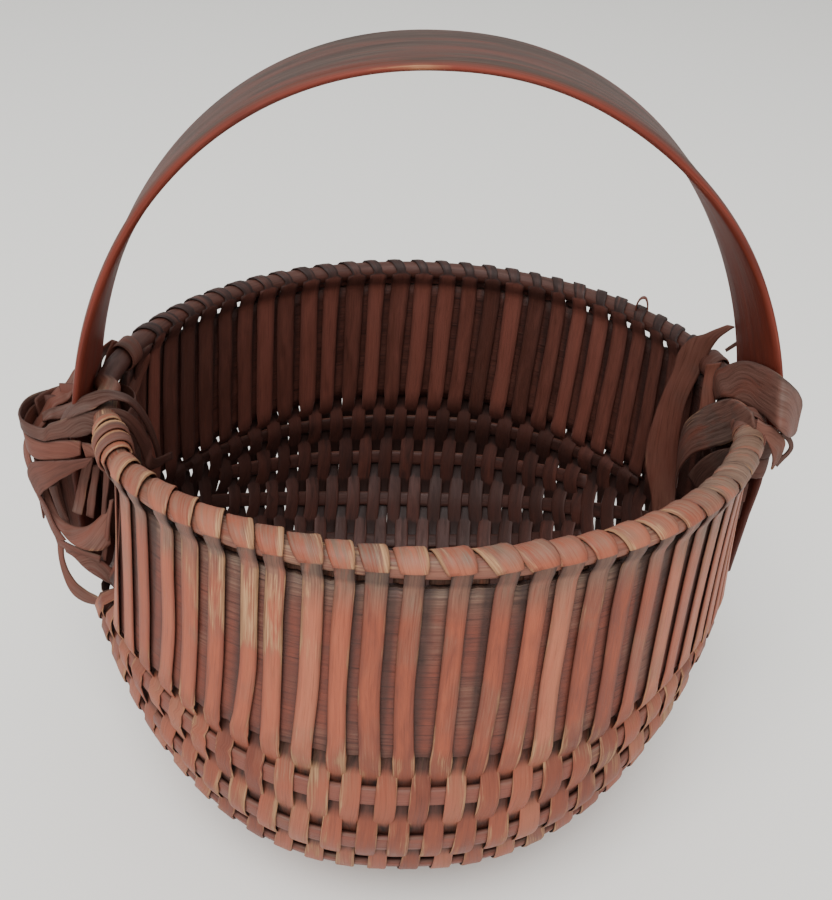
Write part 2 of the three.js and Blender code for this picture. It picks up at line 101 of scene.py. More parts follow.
def placeCamera(view):
    down, turned, rolled = (math.radians(view[key]) for key in ("lookDown", "turned", "rolled"))
    back = np.array([math.sin(turned) * math.cos(down), -math.cos(turned) * math.cos(down), math.sin(down)])
    right, up = levelAxes(-back)
    panRight, panUp = (amount / view["focalPixels"] for amount in view["pan"])
    forward = unit(-back - right * panRight + up * panUp)
    right, up = levelAxes(forward)
    axisX = math.cos(rolled) * right + math.sin(rolled) * up
    axisY = -math.sin(rolled) * right + math.cos(rolled) * up
    lens = bpy.data.cameras.new("camera")
    lens.sensor_width = view["sensorWidth"]
    lens.lens = view["focalPixels"] * view["sensorWidth"] / view["longSidePixels"]
    lens.clip_start = view["nearestSeen"] * metre
    camera = bpy.data.objects.new("camera", lens)
    camera.matrix_world = placeByAxes(axisX, axisY, -forward, (back * view["distance"] + standing) * metre)
    bpy.context.scene.collection.objects.link(camera)
    bpy.context.scene.camera = camera


placeCamera(view)
print("camera placed")


# The surface that the ribs and the weaving follow
body = {
    "rimHalfLength": 88.9, "rimHalfWidthFront": 77.2, "rimHalfWidthBack": 86, "rimRodRadius": 3,
    "bandHalfSpan": 96.3, "bandTop": 91.3, "bandWidestHeight": -32, "bandThickness": 2.9,
    "handleWidth": 28, "keelWidth": 20, "handleRoundness": 2.13,
    "bodyDepth": 124.5, "keelDepth": 108, "lobeSettled": 0.8, "lobeRadius": 49,
    "lobeOffsetFront": 37, "lobeOffsetBack": 44.8, "wallMeetsLobe": 8, "lobeLeaves": -97,
    "wallPull": 35, "cleftPull": 10, "ridgePull": 16, "wallPoints": 200, "lobePoints": 400,
    "bodyReach": 94.5, "spanPower": 2.4, "depthPower": 0.88, "poleSpread": 12, "sidewaysLean": 0.047,
    "wideRibTop": 5.5, "wideRibWidth": 48, "ribsDownToBottom": 6, "ribsUpToKeel": 1, "gapAtWideRib": 0.75,
}
# The lashing of the left ear pulls the end of the front wall inwards
drawnIn = {"by": 6.5, "fromAngle": 146, "fullAngle": 158, "atRim": 0.3, "fullBelow": 6, "fadesFrom": 46,
           "fadesOver": 20}
wideRibEnd = body["wideRibTop"] + body["wideRibWidth"]
nearRun, nearAngle = 0.4, 0.004  # how close two points lie that give a direction


# The outline of one side, from the rim down round the lobe to the keel, by distance along it
def makeSide(direction, rimHalfWidth, lobeOffset):
    centre = np.array([lobeOffset, body["lobeRadius"] - body["bodyDepth"]])
    meets, leaves = math.radians(body["wallMeetsLobe"]), math.radians(body["lobeLeaves"])
    onLobe = lambda angle: centre + body["lobeRadius"] * np.array([math.cos(angle), math.sin(angle)])
    alongLobe = lambda angle: np.array([-math.sin(angle), math.cos(angle)])
    share = np.linspace(0, 1, body["wallPoints"])[:, None]
    start, end = onLobe(meets), onLobe(leaves)
    keel = np.array([0, -body["keelDepth"]])
    wall = bend(share, np.array([rimHalfWidth, 0]), start + body["wallPull"] * alongLobe(meets), start)
    steps = body["lobePoints"]
    lobe = np.array([onLobe(mix(meets, leaves, (step + 1) / steps)) for step in range(steps)])
    cleft = bend(share, end, end - body["cleftPull"] * alongLobe(leaves), keel + (body["ridgePull"], 0), keel)
    points = np.concatenate([wall, lobe, cleft[1:]])
    runs = lengthsAlong(points)
    length = runs[-1]
    bottom = runs[body["wallPoints"] - 1] + body["lobeRadius"] * (meets + middle)
    pitch = (bottom - wideRibEnd) / (body["ribsDownToBottom"] - 1 + body["gapAtWideRib"])
    inwardPitch = (length - body["keelWidth"] / 2 - bottom) / (body["ribsUpToKeel"] + 1)
    ribPlaces = {}
    for rib in range(1, body["ribsDownToBottom"] + body["ribsUpToKeel"] + 1):
        fromBottom = rib - body["ribsDownToBottom"]
        ribPlaces[rib] = bottom + fromBottom * (pitch if fromBottom < 0 else inwardPitch)
    wallEdge = np.interp(wideRibEnd, runs, points[:, 1])
    return dict(direction=direction, rimHalfWidth=rimHalfWidth, runs=runs, points=points, length=length,
                pitch=pitch, ribPlaces=ribPlaces, wallEdge=wallEdge)


front = makeSide(-1, body["rimHalfWidthFront"], body["lobeOffsetFront"])
back = makeSide(1, body["rimHalfWidthBack"], body["lobeOffsetBack"])
sides = {"front": front, "back": back}
keelEnd = (front["wallEdge"] + back["wallEdge"]) / 2


# How full the outline still is towards an ear: round at the rim, and fuller lower down
def lobeShare(angle, low):
    across = np.abs(np.cos(angle)) ** mix(2, body["spanPower"], low)
    return np.maximum(1 - across, 0) ** mix(0.5, body["depthPower"], low)


# A point of the middle surface: the distance down from the rim, and the angle from the right ear
def bodyPoint(side, run, angle):
    run, angle = np.broadcast_arrays(np.asarray(run, float), np.asarray(angle, float))
    run = np.clip(run, 0, side["length"])
    flatY = np.interp(run, side["runs"], side["points"][:, 0])
    flatZ = np.interp(run, side["runs"], side["points"][:, 1])
    low = np.minimum(run / wideRibEnd, 1)
    below = np.maximum(0, (run - wideRibEnd) / (side["length"] - wideRibEnd))
    reach = mix(mix(body["rimHalfLength"], body["bodyReach"], low), body["bandHalfSpan"], below)
    share = lobeShare(angle, low)
    foot = np.minimum(body["poleSpread"] * low, flatY)
    y = side["direction"] * (foot + (flatY - foot) * share)
    pole = np.where(run < wideRibEnd, flatZ, mix(side["wallEdge"], keelEnd, below))
    z = np.maximum(pole + (flatZ - pole) * share, body["lobeSettled"] - body["bodyDepth"])
    x = reach * np.cos(angle) + body["sidewaysLean"] * np.minimum(z, 0)
    if side["direction"] < 0:
        onTheWay = (np.degrees(angle) - drawnIn["fromAngle"]) / (drawnIn["fullAngle"] - drawnIn["fromAngle"])
        belowRim = mix(drawnIn["atRim"], 1, ease(run / drawnIn["fullBelow"]))
        belowRim = belowRim * (1 - ease((run - drawnIn["fadesFrom"]) / drawnIn["fadesOver"]))
        x = x + drawnIn["by"] * ease(onTheWay) * belowRim
    return np.stack([x, y, z], -1)


def bodyFrame(side, run, angle):
    run, angle = np.asarray(run), np.asarray(angle)
    down = unit(bodyPoint(side, run + nearRun, angle) - bodyPoint(side, run - nearRun, angle))
    along = unit(bodyPoint(side, run, angle + nearAngle) - bodyPoint(side, run, angle - nearAngle))
    out = unit(np.cross(down, along)) * side["direction"]
    return along, down, out


# Sections of a strip, a rib and a rod, as shares of the width and of the thickness
bevelled = np.array([(0.5, 0.1), (0.44, 0.38), (0.25, 0.49), (0, 0.53), (-0.25, 0.49), (-0.44, 0.38), (-0.5, 0.1),
                     (-0.49, -0.2), (-0.4, -0.46), (-0.15, -0.42), (0.15, -0.42), (0.4, -0.46), (0.49, -0.2)])
flattened = np.array([(0.5, 0), (0.48, 0.27), (0.4, 0.42), (0.22, 0.49), (0, 0.5), (-0.22, 0.49), (-0.4, 0.42),
                      (-0.48, 0.27), (-0.5, 0), (-0.48, -0.27), (-0.4, -0.42), (-0.22, -0.49), (0, -0.5),
                      (0.22, -0.49), (0.4, -0.42), (0.48, -0.27)])
rodSides = 16
rounded = np.array([(math.cos(corner * wholeTurn / rodSides) / 2, math.sin(corner * wholeTurn / rodSides) / 2)
                    for corner in range(rodSides)])
bevelledEdge = np.abs(bevelled[:, 0]) * 2  # 0 in the middle of a strip, 1 at its edges
grainShift = 900  # each strip is cut from another place of the log, up to this far along the grain


# Rises to 1 over the outermost third, quarter or sixth of a strip, for 3, 4 or 6 parts
def nearEdge(parts):
    return ease(bevelledEdge * parts - (parts - 1))


# Colour follows five values at each point: a light or dark strip, paint rubbed off, the darker paint
# inside the basket (partly painted shade), grey dust and weather, and painted shade and dirt in corners, gaps and
# hidden places
coatKeys = ("tone", "wear", "inner", "dust", "soot")


def tangents(centres, closed):
    if closed:
        return unit(np.roll(centres, -1, 0) - np.roll(centres, 1, 0))
    return unit(np.gradient(centres, axis=0))


# The points and faces of a piece as they are collected, so that one object can hold several strips
def newHeap():
    return {"points": [], "faces": [], "uvs": [], "count": 0, **{key: [] for key in coatKeys}}


# Joins rings of points into a skin, with the grain measured along the piece and round its section.
# Order -1 turns the faces round where the rings run the other way
def addSkin(heap, rings, distance, girth, coat, closed, order=1):
    stations, corners = rings.shape[:2]
    first = heap["count"]
    for station in range(stations if closed else stations - 1):
        ahead = (station + 1) % stations
        here, there = first + station * corners, first + ahead * corners
        for corner in range(corners):
            beside = (corner + 1) % corners
            heap["faces"].append([here + corner, there + corner, there + beside, here + beside][::order])
            heap["uvs"] += [(distance[station], girth[station, corner]),
                            (distance[station + 1], girth[ahead, corner]),
                            (distance[station + 1], girth[ahead, corner + 1]),
                            (distance[station], girth[station, corner + 1])][::order]
    if not closed:
        for station, turn in ((0, order), (stations - 1, -order)):
            heap["faces"].append([first + station * corners + corner for corner in range(corners)][::turn])
            heap["uvs"] += [(distance[station], girth[station, corner]) for corner in range(corners)][::turn]
    heap["points"].append(rings.reshape(-1, 3))
    for key in coatKeys:
        heap[key].append(np.broadcast_to(np.asarray(coat.get(key, 0), float), (stations, corners)).reshape(-1))
    heap["count"] += stations * corners


# Carries a section along a line. A strap between two slanted edges keeps them with squared=False
def sweep(heap, centres, across, widths, thicknesses, section, coat, closed=False, grainStart=0, squared=True):
    along = tangents(centres, closed)
    across = unit(squareTo(across, along) if squared else across)
    normal = unit(np.cross(along, across))
    stations = len(centres)
    widths = np.broadcast_to(widths, stations)[:, None]
    thicknesses = np.broadcast_to(thicknesses, stations)[:, None]
    rings = (centres[:, None] + across[:, None] * section[None, :, :1] * widths[..., None]
             + normal[:, None] * section[None, :, 1:] * thicknesses[..., None])
    loop = np.concatenate([centres, centres[:1]]) if closed else centres
    sizes = np.concatenate([widths, thicknesses], 1)
    sectionSteps = np.diff(np.concatenate([section, section[:1]]), axis=0)
    ringSteps = np.linalg.norm(sectionSteps[None] * sizes[:, None], axis=2)
    girth = np.concatenate([np.zeros((stations, 1)), np.cumsum(ringSteps, 1)], 1)
    addSkin(heap, rings, lengthsAlong(loop) + grainStart, girth, coat, closed)


def heapToPiece(heap, name, material, nodes):
    mesh = bpy.data.meshes.new(name)
    points = np.concatenate(heap["points"]) + standing
    mesh.from_pydata((points * metre).tolist(), [], heap["faces"])
    uvLayer = mesh.uv_layers.new(name="grain")
    uvLayer.data.foreach_set("uv", (np.array(heap["uvs"]) * metre).astype(np.float32).ravel())
    for key in coatKeys:
        attribute = mesh.attributes.new(key, "FLOAT", "POINT")
        attribute.data.foreach_set("value", np.concatenate(heap[key]).astype(np.float32))
    mesh.shade_smooth()
    mesh.materials.append(material)
    piece = bpy.data.objects.new(name, mesh)
    bpy.context.scene.collection.objects.link(piece)
    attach(piece, "root")
    if nodes:
        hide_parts(*nodes)


# Materials
def srgbToLinear(colour):
    channels = [int(colour[place:place + 2], 16) / 255 for place in (1, 3, 5)]
    return tuple(c / 12.92 if c <= 0.04045 else ((c + 0.055) / 1.055) ** 2.4 for c in channels) + (1.0,)


# Adds a node: outputs of other nodes given as inputs are linked, and all else is set
def addNode(tree, kind, settings=None, inputs=(), stops=(), output=0):
    node = tree.nodes.new("ShaderNode" + kind)
    for name, value in (settings or {}).items():
        setattr(node, name, value)
    for name, value in inputs.items() if isinstance(inputs, dict) else enumerate(inputs):
        if isinstance(value, bpy.types.NodeSocket):
            tree.links.new(value, node.inputs[name])
        else:
            node.inputs[name].default_value = value
    while stops and len(node.color_ramp.elements) < len(stops):
        node.color_ramp.elements.new(1)
    for place, (position, colour) in enumerate(stops):
        node.color_ramp.elements[place].position = position
        node.color_ramp.elements[place].color = colour
    return node.outputs[output] if len(node.outputs) else node


# How the paint has aged, alike on every piece. Pairs are the ends of a fade, and the stops of a ramp
# run from its dark end to its light end
ageing = {
    "streak": {"Detail": 4.0, "Roughness": 0.65, "Distortion": 0.3}, "fibre": {"Detail": 2.0, "Roughness": 0.5},
    "blotch": {"Detail": 3.0, "Roughness": 0.6, "Distortion": 0.6}, "patch": {"Detail": 3.0, "Roughness": 0.55},
    "fibreLength": 0.4, "fibreWidth": 0.35,  # as shares of a streak
    "blotchInCoat": 0.6, "toneInCoat": 0.75, "coatShift": -0.12,
    "paintStops": (0.22, 0.5, 0.82), "insideStops": (0.32, 0.7), "greyStops": (0.3, 0.65), "bareStops": (0.3, 0.62),
    "grainStops": ((0.3, 0.3), (0.46, 0.85), (0.66, 1.0)),
    "facingUp": (0.15, 0.95), "patchFade": (0.5, 0.66), "greyFade": (0.7, 1.2), "sheltered": 0.85,
    "dustFade": (0.2, 0.55), "dustShare": 0.9, "greyest": 0.92,
    "rubbedBy": {"blotch": 1.0, "streak": 0.8, "patch": 0.9}, "rubFade": (0.4, 0.72),
    "darkerInBlotches": 0.9, "darkerAnywhere": 0.45, "bareIsRougher": 0.4, "roughFade": (0.3, 0.9),
    "raisedBy": {"streak": 0.7, "fibre": 0.3, "blotch": 0.5},
}


# Oak split along the grain, shaved, and brushed with barn-red paint long ago. The paint is thin and
# dull, so the eye sees streaks of grain through it, grey-brown where the light and dust reach, dark
# with painted shade and dirt in the corners, and bare tan wood on the edges that hands have rubbed
def makePaintedOak(name, look):
    material = bpy.data.materials.new(name)
    material.use_nodes = True
    tree = material.node_tree
    tree.nodes.clear()
    add = partial(addNode, tree)
    times, timesAndPlus = {"operation": "MULTIPLY"}, {"operation": "MULTIPLY_ADD"}
    timesWithin = {"operation": "MULTIPLY", "use_clamp": True}
    smooth, colours = {"interpolation_type": "SMOOTHSTEP"}, {"data_type": "RGBA"}

    def stops(positions, *keys):
        return [(position, srgbToLinear(look[key])) for position, key in zip(ageing[positions], keys)]

    grain = add("UVMap", {"uv_map": "grain"})
    place = add("TexCoord", output="Object")
    tone, wear, inner, dust, soot = (add("Attribute", {"attribute_name": key}, output="Fac") for key in coatKeys)
    length, width, size = look["grainLength"], look["grainWidth"], look["patch"]
    noises = {
        "streak": (grain, (length, width, width)),
        "fibre": (grain, (ageing["fibreLength"] * length, ageing["fibreWidth"] * width, width)),
        "blotch": (grain, (look["blotchLength"], look["blotchWidth"], look["blotchWidth"])),
        "patch": (place, (size, size, size)),
    }
    for kind, (vector, sizes) in noises.items():
        vector = add("Mapping", inputs={"Vector": vector, "Scale": [1 / (side * metre) for side in sizes]})
        noises[kind] = add("TexNoise", inputs={"Vector": vector, "Scale": 1.0, **ageing[kind]})
    streak, blotch, patch = (noises[kind] for kind in ("streak", "blotch", "patch"))

    coat = add("Math", timesAndPlus, (blotch, ageing["blotchInCoat"], ageing["coatShift"]))
    coat = add("Math", timesAndPlus, (tone, ageing["toneInCoat"], coat))
    paint = add("ValToRGB", None, [coat], stops("paintStops", "paintDark", "paint", "paintChalky"))
    # The inside paint is darker, partly as painted shade of the basket's hollow
    inside = add("ValToRGB", None, [coat], stops("insideStops", "insideDark", "inside"))
    colour = add("Mix", colours, {0: inner, 6: paint, 7: inside}, output=2)

    upward = add("SeparateXYZ", None, [add("NewGeometry", output="Normal")], output="Z")
    onTop = add("MapRange", smooth, (upward, *ageing["facingUp"]))
    inPatches = add("MapRange", smooth, (patch, *ageing["patchFade"]))
    mottled = add("MapRange", smooth, (add("Math", {"operation": "ADD"}, (streak, blotch)), *ageing["greyFade"]))
    outer = add("Math", timesAndPlus, (inner, -ageing["sheltered"], 1.0))
    greyed = add("Math", times, (onTop, look["greyOnTop"]))
    greyed = add("Math", timesAndPlus, (inPatches, look["greyPatches"], greyed))
    greyed = add("Math", times, (add("Math", times, (greyed, outer)), mottled))
    settled = add("Math", times, (dust, add("MapRange", smooth, (blotch, *ageing["dustFade"]))))
    greyed = add("Math", timesAndPlus, (settled, ageing["dustShare"], greyed))
    greyed = add("Math", {"operation": "MINIMUM"}, (greyed, ageing["greyest"]))
    weathered = add("ValToRGB", None, [streak], stops("greyStops", "weatheredDark", "weathered"))
    colour = add("Mix", colours, {0: greyed, 6: colour, 7: weathered}, output=2)

    rubbed = wear
    for kind, weight in ageing["rubbedBy"].items():
        rubbed = add("Math", timesAndPlus, (noises[kind], weight, rubbed))
    usual = sum(ageing["rubbedBy"].values()) / 2  # what the noises add on average
    rubbed = add("MapRange", smooth, (rubbed, *(end + usual for end in ageing["rubFade"])))
    rubbed = add("Math", timesWithin, (rubbed, look["bareAmount"]))
    bare = add("ValToRGB", None, [streak], stops("bareStops", "bareDark", "bare"))
    colour = add("Mix", colours, {0: rubbed, 6: colour, 7: bare}, output=2)

    greys = [(position, (value, value, value, 1)) for position, value in ageing["grainStops"]]
    lines = add("ValToRGB", None, [streak], greys)
    colour = add("Mix", {**colours, "blend_type": "MULTIPLY"}, {0: look["grainShow"], 6: colour, 7: lines}, output=2)
    # Painted shade and dirt: the shade-and-dirt value darkens corners, edges, gaps and hidden places, mottled by the
    # blotches
    shadedAndDirty = add("Math", timesAndPlus, (blotch, ageing["darkerInBlotches"], ageing["darkerAnywhere"]))
    shadedAndDirty = add("Math", timesWithin, (soot, shadedAndDirty))
    colour = add("Mix", colours, {0: shadedAndDirty, 6: colour, 7: srgbToLinear(look["shadeAndDirtColour"])}, output=2)

    rough = add("Math", timesAndPlus, (rubbed, ageing["bareIsRougher"], blotch))
    rough = add("MapRange", None, (rough, *ageing["roughFade"], *look["roughness"]))
    height = 0.0
    for kind, weight in ageing["raisedBy"].items():
        height = add("Math", timesAndPlus, (noises[kind], weight, height))
    raised = add("Bump", inputs={"Strength": look["bump"], "Distance": look["relief"] * metre, "Height": height})
    shader = add("BsdfPrincipled", inputs={"Base Color": colour, "Roughness": rough, "Normal": raised,
                                           "IOR": look["ior"], "Specular IOR Level": look["specular"]})
    add("OutputMaterial", inputs={"Surface": shader})
    return material


# Sizes of the grain, the blotches of paint, the dusty patches and the relief are in millimetres. The
# pore lines of split oak are about 0.2 mm wide, and are drawn at 0.4 to 0.7 mm so that they show
wovenLook = {
    "paint": "#A45338", "paintDark": "#783825", "paintChalky": "#B2684C", "weathered": "#7C6655",
    "weatheredDark": "#523F34", "inside": "#8C5144", "insideDark": "#5E362C", "bare": "#C3956A",
    "bareDark": "#966848", "bareAmount": 0.9, "shadeAndDirtColour": "#2A1611", "grainLength": 14, "grainWidth": 0.4,
    "blotchLength": 14, "blotchWidth": 2.8, "patch": 20, "greyOnTop": 0.55, "greyPatches": 0.42, "grainShow": 0.55,
    "roughness": (0.5, 0.78), "bump": 0.6, "relief": 0.3, "ior": 1.5, "specular": 0.4,
}
wovenSplint = makePaintedOak("splitOakSplintInWornBarnRed", wovenLook)
# The lashings are wider, softer splints, creased and greyed, and darker than the weaving
wrapSplint = makePaintedOak("creasedOakLashingInGreyedBarnRed", {
    **wovenLook, "paint": "#6E3B2E", "paintDark": "#42261E", "paintChalky": "#855040", "weathered": "#66524A",
    "weatheredDark": "#3F302A", "greyOnTop": 0.45, "grainWidth": 0.7, "grainShow": 0.5, "bareAmount": 0.75,
    "blotchWidth": 4, "blotchLength": 20, "roughness": (0.6, 0.85), "specular": 0.25})
# The narrow ribs were shaved smooth, and have kept more paint than the splints that rub on them
ribWood = makePaintedOak("shavedOakRibInBarnRed", {
    **wovenLook, "paint": "#87493A", "paintDark": "#5A2F25", "paintChalky": "#9B6050", "bareAmount": 0.7})
# The wide rib was split thin along its length, and the eye sees fine level lines between the splints
wideRibWood = makePaintedOak("thinSplitOakWideRibInBarnRed", {
    **wovenLook, "paint": "#783C2D", "paintDark": "#4A241B", "paintChalky": "#884B3A", "inside": "#7A4538",
    "insideDark": "#4C2A22", "grainLength": 30, "grainWidth": 0.7, "grainShow": 1.0, "bump": 0.9,
    "relief": 0.4, "bareAmount": 0.5, "blotchLength": 8, "blotchWidth": 6})
# The rim rod was whittled round, and its coarser grain shows in the gaps between the turns
rodWood = makePaintedOak("whittledOakRodInBarnRed", {
    **wovenLook, "paint": "#8B4E3C", "paintChalky": "#A56A55", "grainWidth": 0.6})
# The hoop was riven from one straight piece, and hands have polished and greyed it
bandWood = makePaintedOak("rivenOakBandInGreyedBarnRed", {
    **wovenLook, "paint": "#6F3A2D", "paintDark": "#4E261D", "paintChalky": "#804838", "weathered": "#4A4039",
    "weatheredDark": "#2E2520", "inside": "#85392A", "insideDark": "#5A251B", "grainLength": 45,
    "grainWidth": 0.5, "blotchLength": 50, "blotchWidth": 4, "greyOnTop": 1.0, "greyPatches": 0.35,
    "bareAmount": 0.7, "roughness": (0.5, 0.7), "specular": 0.22})
print("materials mixed")


# Handle and keel, one riven band. Its right leg is turned a little towards the front, and the front
# edge hangs a little lower over the top
band = {
    "archPoints": 150, "keelPoints": 90, "keelInset": 0.06, "widthBlend": 9, "uneven": 0.02, "unevenKnots": 18,
    "legTwist": 9, "twistEnds": 68, "twistFull": 30, "twistAbove": -14, "twistRise": 20, "legMoved": 0.9,
    "topTilt": 5, "topSettled": 0.7,
    "edgeFrom": 0.84, "edgeWear": 0.26, "faceWear": 0.1, "tone": 0.4, "undersideInner": 0.7, "topDust": 0.2,
    "hiddenShade": 0.7, "hiddenBelow": 10,
}


def makeBand():
    angle = np.linspace(0, math.pi, band["archPoints"] + 1)
    power = 2 / body["handleRoundness"]
    x = body["bandHalfSpan"] * np.sign(np.cos(angle)) * np.abs(np.cos(angle)) ** power
    z = mix(body["bandWidestHeight"], body["bandTop"], np.maximum(np.sin(angle), 0) ** power)
    arch = np.stack([x + body["sidewaysLean"] * np.minimum(z, 0), 0 * x, z], -1)
    keelAngle = np.linspace(math.pi - band["keelInset"], band["keelInset"], band["keelPoints"] + 1)
    keel = bodyPoint(back, back["length"], keelAngle) * (1, 0, 1)
    centres = np.concatenate([arch, keel])
    stations, overlap = len(centres), band["widthBlend"] // 2
    widths = np.repeat([float(body["handleWidth"]), float(body["keelWidth"])], [len(arch), len(keel)])
    blending = np.full(band["widthBlend"], 1 / band["widthBlend"])
    widths = np.convolve(np.concatenate([widths[-overlap:], widths, widths[:overlap]]), blending, "valid")
    widths = widths * (1 + wavering(np.arange(stations), 0, stations, band["unevenKnots"], band["uneven"]))
    fromLeg = np.degrees(np.concatenate([angle, keelAngle]))
    turned = ease((band["twistEnds"] - fromLeg) / (band["twistEnds"] - band["twistFull"]))
    turned = turned * ease((centres[:, 2] - band["twistAbove"]) / band["twistRise"])
    twist = np.radians(band["legTwist"] * turned)
    top = np.concatenate([np.sin(angle), 0 * keelAngle])
    centres[:, 0] += band["legMoved"] * turned
    centres[:, 2] -= band["topSettled"] * top
    across = np.stack([-np.sin(twist), np.cos(twist), np.sin(np.radians(band["topTilt"]) * top)], -1)
    edge = bevelledEdge > band["edgeFrom"]
    underside = bevelled[:, 1] > 0
    # Below the rim the band is painted in shade
    hidden = ease(-centres[:, 2:] / band["hiddenBelow"])
    coat = {"tone": band["tone"], "wear": np.where(edge, band["edgeWear"], band["faceWear"]) * (1 - hidden),
            "inner": np.where(edge, 1, underside * band["undersideInner"]),
            "dust": np.where(underside | edge, 0, band["topDust"]), "soot": band["hiddenShade"] * hidden}
    heap = newHeap()
    sweep(heap, centres, across, widths, body["bandThickness"], bevelled, coat, True)
    heapToPiece(heap, "handle_and_keel_band", bandWood, ["handle_hoop"])


makeBand()


# Rim rod, rubbed and dusty at the front, and painted in shade at the back where the splints hide it
rod = {"points": 90, "front": {"tone": 0.45, "wear": 0.3, "dust": 0.3, "soot": 0.15},
       "back": {"tone": 0.45, "wear": 0.1, "inner": 0.6, "soot": 0.8}}


def rimFrame(side, angle):
    along, _, _ = bodyFrame(side, nearRun, angle)
    along = unit(along * (1, 1, 0))
    outward = np.stack([along[..., 1], -along[..., 0], 0 * along[..., 0]], -1)
    facing = np.sign(np.sum(outward * bodyPoint(side, 0, angle), -1, keepdims=True))
    return along, outward * facing


# The direction from the middle of the rod to a place round it, counted from straight outwards
def roundRod(outward, turn):
    return outward * np.cos(turn)[:, None] + np.array([0, 0, 1.0]) * np.sin(turn)[:, None]


def makeRim():
    angle = np.linspace(0, math.pi, rod["points"], endpoint=False)
    centres = np.concatenate([bodyPoint(front, 0, angle), bodyPoint(back, 0, math.pi - angle)])
    isFront = (centres[:, 1:2] < 0) * 1.0
    coat = {key: mix(rod["back"].get(key, 0), rod["front"].get(key, 0), isFront) for key in coatKeys}
    across = np.tile([0.0, 0.0, 1.0], (len(centres), 1))
    heap = newHeap()
    sweep(heap, centres, across, 2 * body["rimRodRadius"], 2 * body["rimRodRadius"], rounded, coat, True)
    heapToPiece(heap, "bent_rim_rod", rodWood, ["rim_hoop"])


makeRim()
print("band and rim made")


# Ribs
ribs = {
    "wideThickness": 1.6, "wideTip": 11.77, "ragged": 0.25, "pointsPerRow": 4, "levels": 13,
    "narrowWidth": 5.4, "narrowThickness": 2.1, "waviness": 0.35, "widthWaves": 0.06, "waves": 12,
    "narrowPoints": 70, "widestInGap": 0.6, "thinnest": 0.45, "tipRows": 0.45, "grainShift": 500, "innerGrain": 60,
    # later ribs are set in as the lobes widen
    "stages": [(0, [3, 6]), (0.38, [1, 3, 6]), (0.6, [1, 2, 3, 4, 5, 6, 7])],
    "narrowTones": (0.3, 0.7), "narrowWear": 0.12, "narrowDarkening": 0.3, "narrowInnerShade": 0.6,
    "wideTone": 0.35, "wideWear": 0.04, "wideDarkening": 0.12, "shadowBesideSplint": 0.75, "shadowWidth": 1.8,
    "wideDust": 0.8, "dustTo": 17, "dustFade": 10,
}
weave = {
    "rows": 56, "rowsPerSplint": 4, "firstRowAngle": 16.56, "drawIn": 0.95, "jitter": 0.08,
    "thickness": 0.7, "clear": 0.06, "standOff": 0.22, "belowWideEdge": 0.5, "intoWideRib": 1, "besideKeel": 0.8,
    "widest": 6.2, "coverAtRib": 1.22, "coverBetween": 1.14, "coverTowardsEars": 0.14, "uneven": 0.09,
    "wallWidthFront": 5.0, "wallWidthBack": (5.7, 6.6), "coverOnWall": 1.68,
    "pointsPerCrossing": 6, "pointsOnWall": 12, "pointsAtRim": 4, "pointsOnTurn": 9,
    "pinch": 0.16, "pinchAt": 0.33, "pinchWidth": 0.05, "pinches": (0.5, 1.3),
    "opensRight": (0.6, 0.25), "opensLeft": (0.25, 0.35),
    "waver": 0.06, "wander": 0.3, "waves": 12, "wanderFrom": 10,
    "strayShare": 0.85, "strayEnds": 24, "strayFade": 34,
    "wrapFront": 7.4, "wrapBack": 3.9, "wrapAtLeftEar": 3.2, "narrowerFrom": 46, "narrowerOver": 4,
    "wrapTilt": 0.09, "wrapLift": 3, "wrapShare": 0.9, "wrapEnds": 0.75, "wrapWidths": (0.8, 1.08),
    "wrapRubbed": (0.5, 1),
}
# Some splints on the front wall stand off their even places, counted in rows to the left
strayed = {16: 0.15, 18: 0.25, 20: 0.25, 22: -0.25, 24: -0.4, 26: 0.14, 28: 0.62, 30: 0.5,
           32: 0.14, 34: -0.25, 36: -0.15, 38: -0.7, 40: -0.5, 42: -0.4, 44: -0.6}
jitter = chance.uniform(-1, 1, weave["rows"] + 2) * weave["jitter"]
rowStep = (math.pi - 2 * math.radians(weave["firstRowAngle"])) / (weave["rows"] - 1)


def evenAngle(row, low=1.0):
    return middle + (math.radians(weave["firstRowAngle"]) + row * rowStep - middle) * mix(1, weave["drawIn"], low)


def rowAngle(row, low=1.0):
    row = np.asarray(row, float)
    return evenAngle(row + np.interp(row, np.arange(len(jitter)), jitter), low)


def strayAngle(side, row, runs):
    amount = strayed.get(row, 0) if side is front else 0
    held = ease((runs - wideRibEnd + weave["strayEnds"]) / weave["strayFade"])
    return weave["strayShare"] * amount * rowStep * (1 - held)


def ribsInRow(row):
    share = lobeShare(evenAngle(row), 1)
    return [present for reach, present in ribs["stages"] if share >= reach][-1]


def ribSize(side, run, angle):
    half = side["pitch"] / 2
    gap = np.linalg.norm(bodyPoint(side, run + half, angle) - bodyPoint(side, run - half, angle), axis=-1)
    width = np.minimum(ribs["narrowWidth"], ribs["widestInGap"] * gap)
    return width, ribs["narrowThickness"] * mix(ribs["thinnest"], 1, width / ribs["narrowWidth"])


